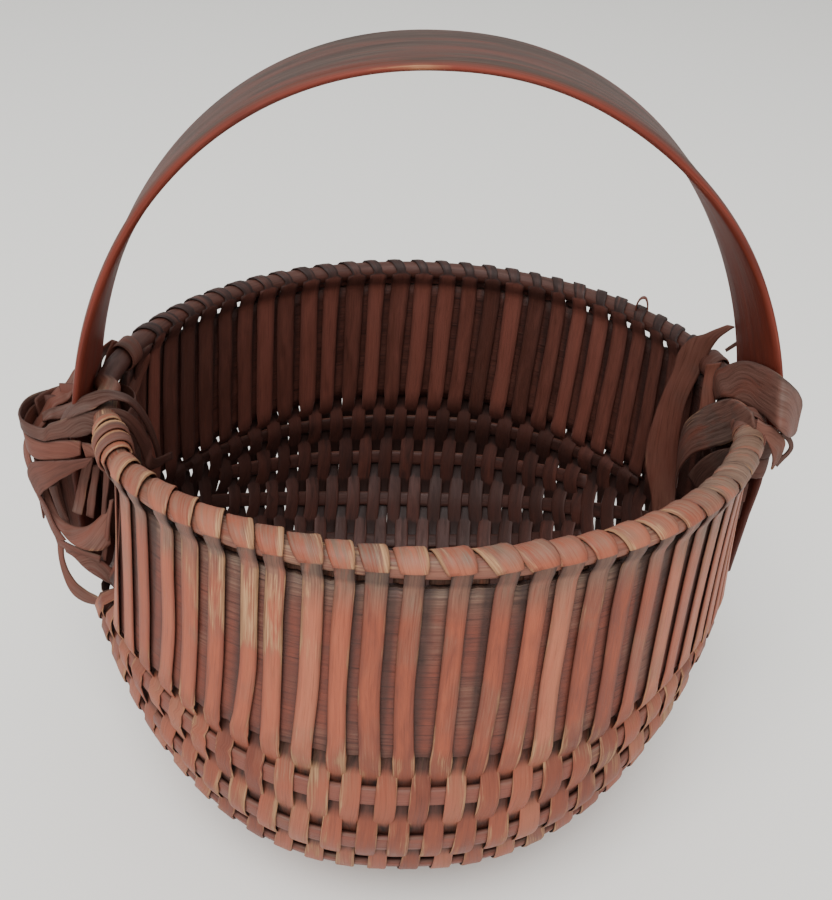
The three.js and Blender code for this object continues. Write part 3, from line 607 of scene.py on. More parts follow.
def makeWideRib(side, sideName):
    tip = math.radians(ribs["wideTip"])
    stations = (weave["rows"] + 3) * ribs["pointsPerRow"]
    angle = np.linspace(tip, math.pi - tip, stations)
    levels = np.linspace(body["wideRibTop"], wideRibEnd, ribs["levels"])
    _, down, out = bodyFrame(side, levels[None, :], angle[:, None])
    surface = bodyPoint(side, levels[None, :], angle[:, None])
    ragged = chance.uniform(-1, 1, (stations, 2)) * ribs["ragged"]
    surface[:, 0] += down[:, 0] * ragged[:, :1]
    surface[:, -1] += down[:, -1] * ragged[:, 1:]
    half = ribs["wideThickness"] / 2
    rings = np.concatenate([surface + out * half, (surface - out * half)[:, ::-1]], 1)
    girth = [levels, levels[::-1] + ribs["innerGrain"], [levels[0] + 2 * ribs["innerGrain"]]]
    girth = np.tile(np.concatenate(girth), (stations, 1))
    # Painted shadow lies on the wide rib beside the splints: even rows run outside the wide rib, and odd rows inside
    row = (angle - evenAngle(0, 1)) / (rowStep * weave["drawIn"])
    underEven = (1 + np.cos(math.pi * row))[:, None] / 2
    isInside = np.repeat([0.0, 1.0], len(levels))[None]
    between = ease(ribs["shadowWidth"] * np.where(isInside > 0, 1 - underEven, underEven))
    depth = np.concatenate([levels, levels[::-1]])[None]
    coat = {"tone": ribs["wideTone"], "wear": ribs["wideWear"], "inner": isInside,
            "dust": ribs["wideDust"] * ease((ribs["dustTo"] - depth) / ribs["dustFade"]) * (1 - isInside),
            "soot": ribs["shadowBesideSplint"] * between + ribs["wideDarkening"]}
    heap = newHeap()
    distance = lengthsAlong(surface[:, ribs["levels"] // 2])
    addSkin(heap, rings, distance, girth, coat, False, 1 if side is back else -1)
    heapToPiece(heap, f"{sideName}_wide_rib", wideRibWood, [f"wide_rib_{sideName}"])


def makeNarrowRib(side, rib, sideName):
    firstRow = next(row for row in range(weave["rows"]) if rib in ribsInRow(row))
    tip = float(evenAngle(firstRow - ribs["tipRows"]))
    angle = np.linspace(tip, math.pi - tip, ribs["narrowPoints"])
    run = side["ribPlaces"][rib]
    _, down, _ = bodyFrame(side, run, angle)
    width, thickness = ribSize(side, run, angle)
    wavy = wavering(angle, tip, math.pi - tip, ribs["waves"])
    centres = bodyPoint(side, run, angle) + down * (ribs["waviness"] * wavy)[:, None]
    # The inward face takes the inside paint and painted shade
    inner = (flattened[:, 1] * side["direction"] > 0).astype(float)
    coat = {"tone": chance.uniform(*ribs["narrowTones"]), "wear": ribs["narrowWear"], "inner": inner,
            "soot": ribs["narrowDarkening"] + ribs["narrowInnerShade"] * inner}
    heap = newHeap()
    sweep(heap, centres, down, width * (1 + ribs["widthWaves"] * wavy), thickness, flattened, coat,
          grainStart=chance.uniform(0, ribs["grainShift"]))
    heapToPiece(heap, f"{sideName}_rib_{rib}", ribWood, [f"rib_{sideName}_{rib}"])


for sideName, side in sides.items():
    makeWideRib(side, sideName)
    for rib in side["ribPlaces"]:
        makeNarrowRib(side, rib, sideName)
print("ribs made")


# Woven splints. Even rows start outside at the rim and odd rows inside, and each goes over one rib
# and under the next down to the keel
def heightsDown(side, row):
    outside = 1 if row % 2 == 0 else -1
    seat = weave["thickness"] / 2 + weave["clear"]
    onWide = outside * (ribs["wideThickness"] / 2 + seat + weave["standOff"])
    keys = [(0.0, outside * (body["rimRodRadius"] + seat)),
            (body["wideRibTop"] + weave["intoWideRib"], onWide), (wideRibEnd + weave["belowWideEdge"], onWide)]
    over = -outside
    for rib in ribsInRow(row):
        run = side["ribPlaces"][rib]
        _, thickness = ribSize(side, run, evenAngle(row))
        keys.append((run, over * (float(thickness) / 2 + seat)))
        over = -over
    keelHeight = over * (body["bandThickness"] / 2 + seat)
    keelEdge = side["length"] - body["keelWidth"] / 2 - weave["besideKeel"]
    return keys + [(keelEdge, keelHeight), (side["length"], keelHeight)]


def halfRow(side, row):
    keys = heightsDown(side, row)
    parts = []
    for place, ((run, height), (nextRun, nextHeight)) in enumerate(zip(keys, keys[1:])):
        steps = (weave["pointsAtRim"], weave["pointsOnWall"])[place] if place < 2 else weave["pointsPerCrossing"]
        share = np.arange(steps) / steps
        rise = (1 - np.cos(math.pi * share)) / 2 if place else ease(share)
        onRib = np.ones(steps) if place < 2 else np.abs(np.cos(math.pi * share))
        beside = np.abs(np.abs(share - 0.5) - weave["pinchAt"]) < weave["pinchWidth"]
        parts.append((mix(run, nextRun, share), mix(height, nextHeight, rise), onRib, beside * (place >= 2) * 1.0))
    parts.append(([keys[-1][0]], [keys[-1][1]], [1.0], [0.0]))
    runs, heights, onRib, beside = (np.concatenate(values) for values in zip(*parts))
    low = np.minimum(runs / wideRibEnd, 1)
    angle = rowAngle(row, low) + strayAngle(side, row, runs)
    along, _, out = bodyFrame(side, np.clip(runs, nearRun, side["length"] - nearRun), angle)
    centres = bodyPoint(side, runs, angle) + out * heights[:, None]
    spacing = np.linalg.norm(bodyPoint(side, runs, evenAngle(row + 0.5, low))
                             - bodyPoint(side, runs, evenAngle(row - 0.5, low)), axis=-1)
    fromMiddle = math.cos(float(evenAngle(row)))  # 1 at the right ear, -1 at the left
    cover = mix(weave["coverBetween"], weave["coverAtRib"], onRib)
    cover = cover * (1 + weave["coverTowardsEars"] * (abs(fromMiddle) + max(fromMiddle, 0)))
    # Light comes through beside the ribs towards the ears, where the splints are drawn together
    opensFrom, opensOver = weave["opensRight"] if fromMiddle > 0 else weave["opensLeft"]
    opened = ease((abs(fromMiddle) - opensFrom) / opensOver)
    cover = cover * (1 - weave["pinch"] * opened * beside * chance.uniform(*weave["pinches"], len(runs)))
    onBack = mix(*weave["wallWidthBack"], ease((1 - fromMiddle) / 2))
    wallWidth = (weave["wallWidthFront"] if side is front else onBack) * (1 + weave["uneven"] * chance.uniform(-1, 1))
    widths = np.where(runs < wideRibEnd, np.minimum(wallWidth, weave["coverOnWall"] * spacing),
                      np.minimum(weave["widest"], cover * spacing))
    # Split by hand, so a little uneven along its length
    widths = widths * (1 + weave["waver"] * wavering(runs, 0, side["length"], weave["waves"]))
    sideways = weave["wander"] * wavering(runs, 0, side["length"], weave["waves"]) * ease(runs / weave["wanderFrom"])
    return dict(centres=centres + along * sideways[:, None], across=along, out=out, widths=widths, runs=runs,
                heights=heights, turned=0 * runs)


# Over the rim, from the outside of one row to the inside of the next. At the front the right edge of
# each turn lies on its neighbour
def rimTurn(side, row):
    outer, inner = (row, row + 1) if row % 2 == 0 else (row + 1, row)
    share = (np.arange(weave["pointsOnTurn"]) + 0.5) / weave["pointsOnTurn"]
    turn = share * math.pi
    angle = mix(rowAngle(outer, 0.0) + strayAngle(side, outer, 0.0), rowAngle(inner, 0.0), ease(share))
    along, outward = rimFrame(side, angle)
    radial = roundRod(outward, turn)
    tilt = weave["wrapTilt"] if side is front else 0
    radius = body["rimRodRadius"] + weave["thickness"] / 2 + weave["clear"] + weave["wrapLift"] * tilt
    spacing = np.linalg.norm(bodyPoint(side, 0, evenAngle(row + 1.5, 0.0))
                             - bodyPoint(side, 0, evenAngle(row - 0.5, 0.0)))
    atLeftEar = ease((row - weave["narrowerFrom"]) / weave["narrowerOver"])
    widest = mix(weave["wrapFront"], weave["wrapAtLeftEar"], atLeftEar) if side is front else weave["wrapBack"]
    widths = min(widest, weave["wrapShare"] * spacing) * mix(weave["wrapEnds"], 1, np.sqrt(np.sin(turn)))
    widths = widths * chance.uniform(*weave["wrapWidths"])
    result = dict(centres=bodyPoint(side, 0, angle) + radius * radial, across=along - tilt * radial, out=radial,
                  widths=widths, runs=0 * share, heights=np.sin(turn),
                  turned=np.full(len(share), chance.uniform(*weave["wrapRubbed"])))
    return result if row % 2 == 0 else turnedRound(result)


def turnedRound(part):
    return {key: value[::-1] for key, value in part.items()}


# Paint rubbed off along a stretch of the front, by the angle round the rim and the depth below it
rubbedAt = {"angle": 115, "spread": 13, "top": 4, "topFade": 3, "bottom": 32, "bottomFade": 8, "amount": 0.46}
# How worn and dirty the splints are, and where painted shade darkens them, on the walls and below them, and on their
# turns over the rim
splintCoat = {
    "tones": (0.1, 0.85), "turnTones": (0.25, 0.8), "innerKeeps": 0.75,
    "faceWear": 0.08, "edgeWear": 0.3, "edgeSharp": 4, "lowWear": 0.14, "lowFrom": 42, "lowFade": 10,
    "bottomWear": 0.08, "turnWear": 0.12, "turnEdgeWear": 0.75, "turnEdgeFrom": 0.3, "turnEdgeFade": 2.4,
    "greyTo": 56, "greyFade": 20, "greyKeeps": 0.45,  # the right end of the rim is greyed all over
    "turnDust": 0.12, "greyDust": 0.8, "wallDust": 0.75, "dustTo": 15, "dustFade": 9, "turnInner": 0.85,
    "wallDarkening": 0.12, "wallEdgeShade": 0.5, "underRimShade": 0.4, "underRim": 4, "lowDarkening": 0.36, "sunkShade": 0.58,
    "sunkFrom": -0.2, "deepShade": 0.5, "deepFade": 12, "turnDarkening": 0.12, "turnEdgeShade": 0.4, "backTurnShade": 0.92,
}


def coatSplint(path):
    c = splintCoat
    tangent = tangents(path["centres"], False)
    facing = np.sum(np.cross(tangent, unit(squareTo(path["across"], tangent))) * path["out"], -1)
    inner = ease(0.5 - 2 * facing[:, None] * np.where(bevelled[:, 1] > 0, 1, -1)[None])
    onRim = path["turned"][:, None] > 0
    isFront = path["centres"][:, 1:2] < 0
    towardsMiddle = np.sign(path["centres"][:, :1]) * bevelled[:, 0][None] * 2
    runs, angle = path["runs"][:, None], path["angle"][:, None]
    rubbed = rubbedAt["amount"] * np.exp(-((angle - rubbedAt["angle"]) / rubbedAt["spread"]) ** 2)
    rubbed = rubbed * ease((runs - rubbedAt["top"]) / rubbedAt["topFade"])
    rubbed = rubbed * ease((rubbedAt["bottom"] - runs) / rubbedAt["bottomFade"])
    low = c["lowWear"] * ease((runs - c["lowFrom"]) / c["lowFade"]) + c["bottomWear"] * (runs > wideRibEnd)
    greyEnd = ease((c["greyTo"] - angle) / c["greyFade"])
    turnEdge = path["turned"][:, None] * ease((towardsMiddle - c["turnEdgeFrom"]) * c["turnEdgeFade"]) * isFront
    wear = np.where(onRim, c["turnWear"] + c["turnEdgeWear"] * turnEdge * (1 - c["greyKeeps"] * greyEnd),
                    c["faceWear"] + c["edgeWear"] * bevelledEdge ** c["edgeSharp"] + (rubbed + low) * isFront)
    dust = np.where(onRim, (c["turnDust"] + c["greyDust"] * greyEnd) * isFront,
                    c["wallDust"] * ease((c["dustTo"] - runs) / c["dustFade"]) * (1 - inner))
    # Painted shade: dark lines along the strip edges, under the rim, where a splint dips under a rib, deep inside the
    # basket and over the back turns of the rim, which also take the inside paint
    wallDarkening = c["wallDarkening"] + c["wallEdgeShade"] * nearEdge(3) + c["underRimShade"] * (runs < c["underRim"])
    sunk = path["heights"][:, None] * np.where(inner > 0.5, 1, -1)
    deepInside = inner * ease((runs - wideRibEnd) / c["deepFade"])
    lowDarkening = c["lowDarkening"] + c["sunkShade"] * ease(sunk - c["sunkFrom"]) + c["deepShade"] * deepInside
    turnDarkening = c["turnDarkening"] + c["turnEdgeShade"] * nearEdge(4) + c["backTurnShade"] * (1 - isFront)
    return {"tone": path["tone"][:, None], "wear": wear * (1 - c["innerKeeps"] * inner),
            "inner": np.where(onRim & ~isFront, np.maximum(inner, c["turnInner"]), inner), "dust": dust,
            "soot": np.where(onRim, turnDarkening, np.where(runs < wideRibEnd, wallDarkening, lowDarkening))}


def makeSplint(number):
    parts = []
    for row in range(number * weave["rowsPerSplint"], (number + 1) * weave["rowsPerSplint"]):
        backHalf = halfRow(back, row)
        frontHalf = {key: value[1:] for key, value in turnedRound(halfRow(front, row)).items()}
        rowParts = [backHalf, frontHalf] if row % 2 == 0 else [turnedRound(frontHalf), turnedRound(backHalf)]
        for part in rowParts:
            part.update(tone=chance.uniform(*splintCoat["tones"]), angle=math.degrees(evenAngle(row)))
        parts += rowParts
        if row < weave["rows"] - 1:
            turn = rimTurn(front if row % 2 == 0 else back, row)
            turn.update(tone=chance.uniform(*splintCoat["turnTones"]), angle=math.degrees(evenAngle(row + 0.5)))
            parts.append(turn)
    for part in parts:
        for key in ("tone", "angle"):
            part[key] = np.full(len(part["runs"]), part[key])
    path = {key: np.concatenate([part[key] for part in parts]) for key in parts[0]}
    heap = newHeap()
    sweep(heap, path["centres"], path["across"], path["widths"], weave["thickness"], bevelled, coatSplint(path),
          grainStart=chance.uniform(0, grainShift))
    heapToPiece(heap, f"woven_splint_{number + 1:02d}", wovenSplint, [f"splint_{number + 1:02d}"])


for number in range(weave["rows"] // weave["rowsPerSplint"]):
    makeSplint(number)
print("splints woven")


# Ears, where the rim is lashed to the handle. Each strap is a flat splint, given by its dust and its
# two edges, with points counted from the middle of the band at rim height: outwards, back and up
ears = {
    "fromMiddle": 93.7, "samples": 6, "thickness": 0.8, "uneven": 0.04, "unevenKnots": 9, "narrowest": 0.6,
    "tones": (0.15, 0.75), "wear": 0.06, "edgeWear": 0.26, "edgeSharp": 6, "soot": 0.1, "edgeShade": 0.25,
    "deepFrom": 82, "deepFade": 8, "deepInner": 0.7, "deepDust": 0.4, "deepShade": 0.35, "hiddenDust": 0.05,
}
# Splints that stand hidden behind the left lashing: upper corner, width and length
standingSplints = [((-6, 7.5, -3), 5.8, 57), ((-0.6, 8.5, -4), 6, 56), ((5, 8, -5), 6, 55),
                   ((10.5, 6.5, -8), 5.5, 50)]
# They lean inwards and to the front as they go down, and narrow a little: at the top, halfway and below
standingEdges = {"first": [(0, 0), (-0.6, -1), (-2.5, -4)], "second": [(0, 0.5), (-0.4, -0.5), (-2.2, -3.5)]}


def standUp(corner, width, length):
    first, second = ([np.array([outward, back, -length * place / 2]) + corner
                      for place, (outward, back) in enumerate(edge)] for edge in standingEdges.values())
    return ears["hiddenDust"], first, [point + (width, 0, 0) for point in second]


leftEar = {
    "lashing_over": [
        (0.41, [(12.9, 15.4, -9.8), (17.7, 4.7, -6.8), (17.5, -5.7, -4.8), (14.3, -13.8, -3.8), (7.5, -18.7, -3.3),
                (5, -19.4, -1.4), (1.5, -19.8, 0), (-1.2, -19.8, 1.3), (-3.9, -19.7, 2.3), (-6.4, -19.3, 2.6),
                (-9.3, -18.4, 2.9), (-12, -17, 2.2), (-14.5, -15.2, 0.1), (-16.3, -13.2, -3.6), (-17.5, -11.3, -8.5),
                (-18.1, -10.1, -13.1), (-18.3, -9.6, -18.1), (-19, 7.7, -27.1)],
         [(12.9, 15.4, -13.8), (17.7, 4.7, -10.8), (17.5, -5.7, -8.8), (14.3, -13.8, -7.8), (8.3, -18.5, -7.3),
          (5.8, -19.3, -6.6), (1.6, -19.8, -5.4), (-1.8, -19.8, -5.2), (-5, -19.6, -4.3), (-7, -19.2, -2.6),
          (-9.3, -18.5, -1.8), (-11.6, -17.4, -2.4), (-13.4, -16.1, -4.1), (-14.9, -14.9, -7.3),
          (-15.8, -13.9, -11.7), (-16.5, -13.1, -16.5), (-17.4, -11.6, -20.8), (-19, 7.7, -29.8)]),
        (0.19, [(3.3, -15, -2.6), (1.9, -13, -0.4), (-0.2, -12, 1.1), (-2.5, -12, 2.8), (-4.8, -12, 3.9),
                (-7, -12, 4.6), (-9.5, -11.5, 4.5), (-11.8, -10.5, 3.4), (-13.7, -9.5, 1.7), (-15.2, -8, -1),
                (-16.4, -6.5, -4.7), (-17.3, -5, -9.1), (-17.8, -3.5, -14), (-18.1, -2, -19.3), (-17.9, 0, -25.8)],
         [(2.5, -19, -1.8), (0.2, -20, 0.3), (-2.5, -20.5, 1.9), (-5, -20.5, 3), (-7, -20, 3.6), (-9.1, -19.5, 4.9),
          (-11.3, -18.5, 5.5), (-13.1, -17, 4.6), (-14.7, -15.5, 3), (-15.7, -13.5, 0), (-16.5, -11.5, -3.6),
          (-17.2, -9.5, -8), (-17.8, -8, -12.5), (-18.1, -6.5, -17.4), (-17.8, -4, -23.8)]),
    ],
    "lashing_under": [
        (0.1, [(5, 13, -10), (4, 15.5, -2), (-2.9, 18, 4.4), (-1.8, 16, 1.5), (-0.8, 14, -1.4), (0.6, 12, -4.3),
               (1.9, 10, -7.2), (3.1, 8, -9.1)],
         [(3, 20, -11), (1, 21.5, -3), (-5.3, 22, 0.8), (-4.8, 20, -2.1), (-3.4, 18, -5.1), (-2, 15, -7.9),
          (-1, 12, -9.9), (0.2, 9, -11.2)]),
        (0.1, [(-1, 23, -10), (-3, 25, -2), (-8.1, 24, -1.1), (-6.1, 22, -4.5), (-4.4, 19, -7.3), (-3.2, 16, -10.1),
               (-2.3, 14, -12.4)],
         [(-4, 29, -12), (-6, 31, -3), (-11.3, 27, -4.6), (-10.8, 25, -7.7), (-9.5, 22, -10.9), (-8.3, 18, -13.5),
          (-7, 15, -14.9)]),
        (0.11, [(5.5, 15, -1.4), (7.9, 14, -3.6), (9.3, 13, -5.7), (10.6, 12, -7.2), (12.2, 10, -7.4), (13.9, 8, -9),
                (15.2, 6, -11), (16.3, 3, -12.8), (17.7, 0, -14.3), (18.3, -3, -15.1), (18.4, -6, -16.6),
                (18.1, -8, -19.3), (17, -10, -22), (15.9, -11, -25.3)],
         [(3.7, 12, -2.4), (5.7, 9, -5.4), (7, 7.5, -7.2), (7.9, 6, -8.7), (9.1, 4, -8.9), (10.7, 2.5, -9),
          (11.4, 0.5, -10.2), (12.8, -1.5, -12), (14.3, -4, -13.4), (15.1, -7, -13.9), (15.4, -9.5, -14.9),
          (15.1, -11.5, -16.9), (14.4, -12.5, -19.6), (13.4, -13, -22.6)]),
        (0.52, [(14, 0, -9.9), (11.9, 1, -9), (10.2, 2, -8.9), (7.9, 3, -8.6), (5.3, 4, -7.6)],
         [(13.5, -2, -11.7), (11.4, -2, -10.8), (9.8, -1, -11.2), (7.8, 0, -11.4), (5.4, 1, -10.3)]),
    ],
    "strap_upper": [
        (0.28, [(12.7, 15.2, -11.7), (17.4, 4.7, -9.7), (17.2, -5.6, -8.7), (14.1, -13.6, -8.2), (8.5, -18, -7.9),
                (3.7, -19.3, -6.7), (0.5, -19.6, -6.3), (-2.3, -19.4, -6.6)],
         [(12.7, 15.2, -18.3), (17.4, 4.7, -16.3), (17.2, -5.6, -15.3), (14.1, -13.6, -14.8), (10.4, -17, -14.5),
          (4.7, -19.2, -12.8), (1.3, -19.6, -12), (-1.7, -19.6, -11)]),
        (0.41, [(-2.1, -19, -7.2), (-3.6, -18.8, -7.6), (-5.1, -18.7, -8.1), (-6.5, -18.5, -8.7)],
         [(-2.9, -19, -12.6), (-4, -18.8, -12.4), (-5.3, -18.7, -12.1), (-6.6, -18.4, -11.6)]),
        (0.25, [(-4.8, -19.6, -11.7), (-2.5, -19.8, -11.9), (1.3, -19.8, -12.5), (5.2, -19.4, -13),
                (9.6, -17.9, -14.3), (14.3, -13.8, -17.7), (16.6, -11.9, -22), (15.9, -12.2, -25.8),
                (15, -12.1, -29.7), (14.4, -12, -33.2), (13.6, -12.1, -37.7), (12, -14.3, -40.3),
                (10.2, -16.2, -42.8)],
         [(-2.6, -19.8, -14.6), (-0.1, -19.8, -15.7), (2.3, -19.8, -17.4), (5.1, -19.4, -19.3), (8.2, -18.5, -22),
          (10.6, -17.2, -24.3), (11.9, -16, -26.2), (13.1, -14.5, -28.3), (12.6, -15, -29.3), (11.2, -16.2, -31.5),
          (10.3, -16.7, -35.3), (8.8, -17.6, -38.1), (6.9, -18.6, -40.5)]),
    ],
    "strap_lower": [
        (0.3, [(13.2, -9, -27.7), (12.3, -10.5, -29.7), (11.1, -12, -32.5), (9.7, -13.5, -35.2), (7.8, -14.5, -36.9),
               (5.3, -15, -38.2), (2.3, -15.5, -38), (-0.1, -15.5, -36.7), (-2.4, -15.5, -34.5), (-5.1, -15, -31.7)],
         [(14.2, -11, -29.1), (13.3, -12.5, -31.1), (12.3, -14, -34.2), (10.4, -16, -36.9), (8.1, -17.5, -38.9),
          (5.5, -19, -41.2), (2.2, -20.5, -42.1), (-0.5, -20.5, -42.8), (-3.2, -20, -42.8), (-5.5, -18.5, -42.1)]),
        (0.33, [(10.6, -16, -41.2), (7.1, -18.5, -41.3), (3.6, -19.6, -42.4), (0.3, -19.8, -43.7),
                (-2.6, -19.8, -45.1)],
         [(10.2, -16.1, -44.3), (6.9, -18.5, -44.2), (3.6, -19.6, -44.3), (0.6, -19.8, -45.7), (-2, -19.8, -47.3)]),
        (0.33, [(8.1, -17.2, -44.2), (5.1, -18.7, -43.6), (2.2, -19.2, -44.1), (-0.5, -19.3, -45.2),
                (-2.9, -19.2, -47.8), (-5.3, -19, -50.9), (-7.1, -18.6, -54.1), (-8.7, -18.1, -56.8)],
         [(7.8, -17.3, -45.9), (5.6, -18.5, -46.7), (3.3, -19.1, -49.7), (0.8, -19.3, -52.2), (-1.8, -19.3, -54.4),
          (-4.1, -19.1, -56.1), (-6.5, -18.7, -57.5), (-8.4, -18.2, -57.4)]),
        (0.5, [(-0.1, -13, -16.6), (1.4, -13, -20.9), (2.8, -13, -25), (4.1, -13.5, -29.5), (5.3, -14.5, -33.3)],
         [(-3.2, -14, -15.5), (-1.4, -14, -20.9), (0.1, -14, -25.6), (1.1, -14.5, -29.7), (2.3, -15.5, -33.9)]),
        (0.28, [(-2.6, -14, -17.9), (-1.4, -14, -22.9), (0.3, -14, -28.7), (1.5, -14.5, -34.6)],
         [(-5, -14.5, -16.8), (-3.4, -14.5, -23.2), (-2.1, -14.5, -28.6), (-0.7, -15, -35.3)]),
        (0.39, [(-5.9, -15, -17.4), (-4.8, -15, -23.8), (-3.7, -15, -30), (-2.6, -15, -35.9)],
         [(-8, -15.5, -16.7), (-6.5, -15.5, -24.1), (-5.2, -15.5, -29.6), (-4.4, -15.5, -35.9)]),
        (0.44, [(13.4, -7, -30.4), (12.3, -8, -34.6), (11.2, -9, -38.2), (9.7, -11, -39.9)],
         [(10.2, -9, -28.3), (9.7, -10, -32.5), (8.8, -11, -35.6), (7.5, -12, -38.4)]),
        (0.44, [(-7, -18, -26.7), (-5.3, -18, -33.6), (-3.6, -18, -40.7), (-1.8, -18, -47.7)],
         [(-8.2, -18.5, -26), (-6.5, -18.5, -33.6), (-5, -18.5, -41), (-3.2, -18.5, -48.3)]),
        *(standUp(*splint) for splint in standingSplints),
        (0.05, [(15.5, 5.5, -10), (14.5, 4.5, -34), (12.5, 2, -52)],
         [(19.5, 4.5, -10), (18.6, 3.5, -32), (16, 1.5, -46)]),
    ],
    "loose_end": [
        (0.25, [(10.8, -14.5, -42.7), (11.6, -14, -48.9), (11.7, -14, -54.2), (11.3, -14, -59.1), (10.4, -14, -63),
                (8.7, -14, -66.1), (6.1, -14.5, -67.4), (2.8, -15, -67.9)],
         [(8.8, -15.5, -43.7), (9.8, -15, -49.2), (9.5, -15, -53.3), (8.6, -15, -56.7), (7.3, -15, -59.7),
          (5, -15, -62.2), (2.9, -15.5, -63.3), (0.9, -16, -64.2)]),
    ],
}
rightEar = {
    "lashing_over": [
        (0.6, [(-9.1, 13.5, -0.6), (-8.6, 12.2, 2.5), (-7.5, 8.6, 5.5), (-6.3, 4.2, 9), (-5.1, -1.1, 12.1),
               (-4.1, -7.8, 14.6), (-3.6, -14.3, 16.4), (-2.7, -20.1, 17.3), (0.6, -18.9, 14.7), (4.8, -15.3, 10.3),
               (8.7, -10.3, 4), (9.4, -2, -3.5), (6.5, 9, -8.5), (-3.6, 15, -11)],
         [(-8.1, 8, -5.7), (-8.8, 1.1, -1), (-7.6, -3.2, 1.2), (-6.4, -7.8, 2.5), (-5.5, -12.2, 3.5),
          (-4.9, -16.7, 4.5), (-4.5, -22.4, 5.8), (-4.4, -28.8, 7.1), (-1.6, -28.2, 4.6), (2.9, -21.7, 0.1),
          (6.3, -16.2, -1.9), (9, -6, -8.5), (6.5, 9, -14.5), (-3.6, 15, -17)]),
        (0.45, [(-7.8, -23, 6.6), (-5.8, -23.6, 5.4), (-3.7, -23.8, 4.7), (-1.3, -23.6, 2.7), (1.1, -22.7, -0.3),
                (1.5, -22.2, -3.5), (1, -21.7, -7)],
         [(-8.2, -23.4, 3.1), (-6.4, -23.8, 1.5), (-4.5, -24, 0.5), (-3.1, -23.9, -1.7), (-1.8, -23.7, -4.4),
          (-1.1, -23.3, -6.9), (-0.6, -22.7, -9.5)]),
    ],
    "lashing_under": [
        (0.7, [(-9.4, -22.1, 8.1), (-10.4, -16.1, 7.2), (-10.9, -10.1, 5), (-11.6, -4.1, 1.2), (-12.2, 0.9, -2.9),
               (-13.3, 4.9, -7.3), (-14.5, 7.9, -11.4), (-15.2, 9.9, -15.8), (-14.8, 11.9, -22.5),
               (-13.8, 13, -30.1)],
         [(-8.1, -24, 4.4), (-9.8, -21, 0), (-10.7, -17, -4.1), (-11.6, -12.5, -8.6), (-12.9, -7.5, -12.9),
          (-13.8, -3, -16.7), (-14.7, 1, -21.1), (-15.2, 4, -25.6), (-15, 7, -31.2), (-14, 9.1, -37.9)]),
        (0.6, [(-9.4, -21, -0.3), (-10.2, -16, -6.7), (-11.6, -11, -10.9), (-12.6, -6, -16.2), (-13.2, -1, -22.3),
               (-13.4, 3, -28.9)],
         [(-7.1, -23, -3.8), (-8.5, -18.5, -9.2), (-8.9, -14, -14.2), (-9.7, -9.9, -19.4), (-10.1, -5.4, -25.5),
          (-9.9, -0.9, -33.1)]),
    ],
    "strap_upper": [
        (0.15, [(-11.5, 13, 3.5), (-11.4, 13, 0.2), (-11.5, 12, -3.9), (-11.5, 11, -8.5), (-11.4, 10.5, -12.7)],
         [(-7.7, 11, 5.3), (-7.9, 11, 2), (-8, 10.5, -2.7), (-7.4, 9.5, -7.2), (-7.5, 8.5, -10.7)]),
        (0.6, [(-6.1, 15, 7.4), (-3.6, 15, 9.7), (-1.8, 14, 12)],
         [(-5.6, 15, 6.6), (-3, 15, 8.7), (-1.3, 14, 11.1)]),
    ],
    "loose_end": [
        (0.6, [(1.5, -19, 0.6), (4.4, -18.5, -1.7), (6, -18, -4.7), (5.8, -17.5, -7.4), (4.6, -17.2, -10),
               (3.5, -17, -12.3)],
         [(0.7, -19, -0.7), (3.3, -18.5, -2.7), (4.8, -18, -5.2), (4.5, -17.5, -7.3), (3.5, -17.2, -8.8),
          (2.4, -17, -11)]),
    ],
    "long_strap": [
        (0.35, [(-5.6, 19, 13.2), (-8.2, 20, 11.5), (-11.1, 21, 9.3), (-14.1, 22, 7.7), (-16.2, 22.5, 4.8),
                (-17.2, 23, 0.8), (-17.6, 23, -4), (-19, 23, -9.9), (-20, 23, -16.3), (-21.1, 22.5, -23.2),
                (-21.7, 22.5, -31.4), (-20.5, 22, -39.9), (-17.3, 22, -49.7), (-15.4, 22, -58.3)],
         [(-4.3, 16, 14.2), (-5.4, 17, 12.4), (-7.4, 18, 9.4), (-8.7, 19, 4.9), (-9.6, 19.5, 0.1), (-10.5, 20, -4.6),
          (-11.7, 20, -9.8), (-12.4, 20.5, -15.8), (-12.4, 21, -21.8), (-11.9, 21, -28.5), (-11, 21, -35.3),
          (-10.1, 21, -42.2), (-9.2, 21, -50.9), (-8.6, 21.5, -59.4)]),
    ],
}
# Turns round the bundle of band and rib tips, by level and by angle from straight outwards
windings = {
    "left": {"reachOut": 16, "reachIn": 12, "halfWidth": 14.5, "slant": 1.6, "width": 6.6,
             "turns": [(-10, 10, 205), (-16, -10, 205), *((level, -20, 205) for level in (-22, -28, -34, -40))]},
    "right": {"reachOut": 4.6, "reachIn": 7.5, "halfWidth": 15.5, "slant": 1, "width": 6.4,
              "turns": [(-4, 80, 265), (-8, 0, 360), (-14.5, 0, 360)],
              "lowerTurns": [(level, 80, 265) for level in (-22, -28, -34)]},
}
# The turns take some inside paint and darkening, as painted shade of the ear's hollow
winding = {"points": 48, "squareness": 2.4, "tones": (0, 0.6), "wear": 0.05, "inner": 0.35, "dust": (0.2, 0.6),
           "soot": 0.3}
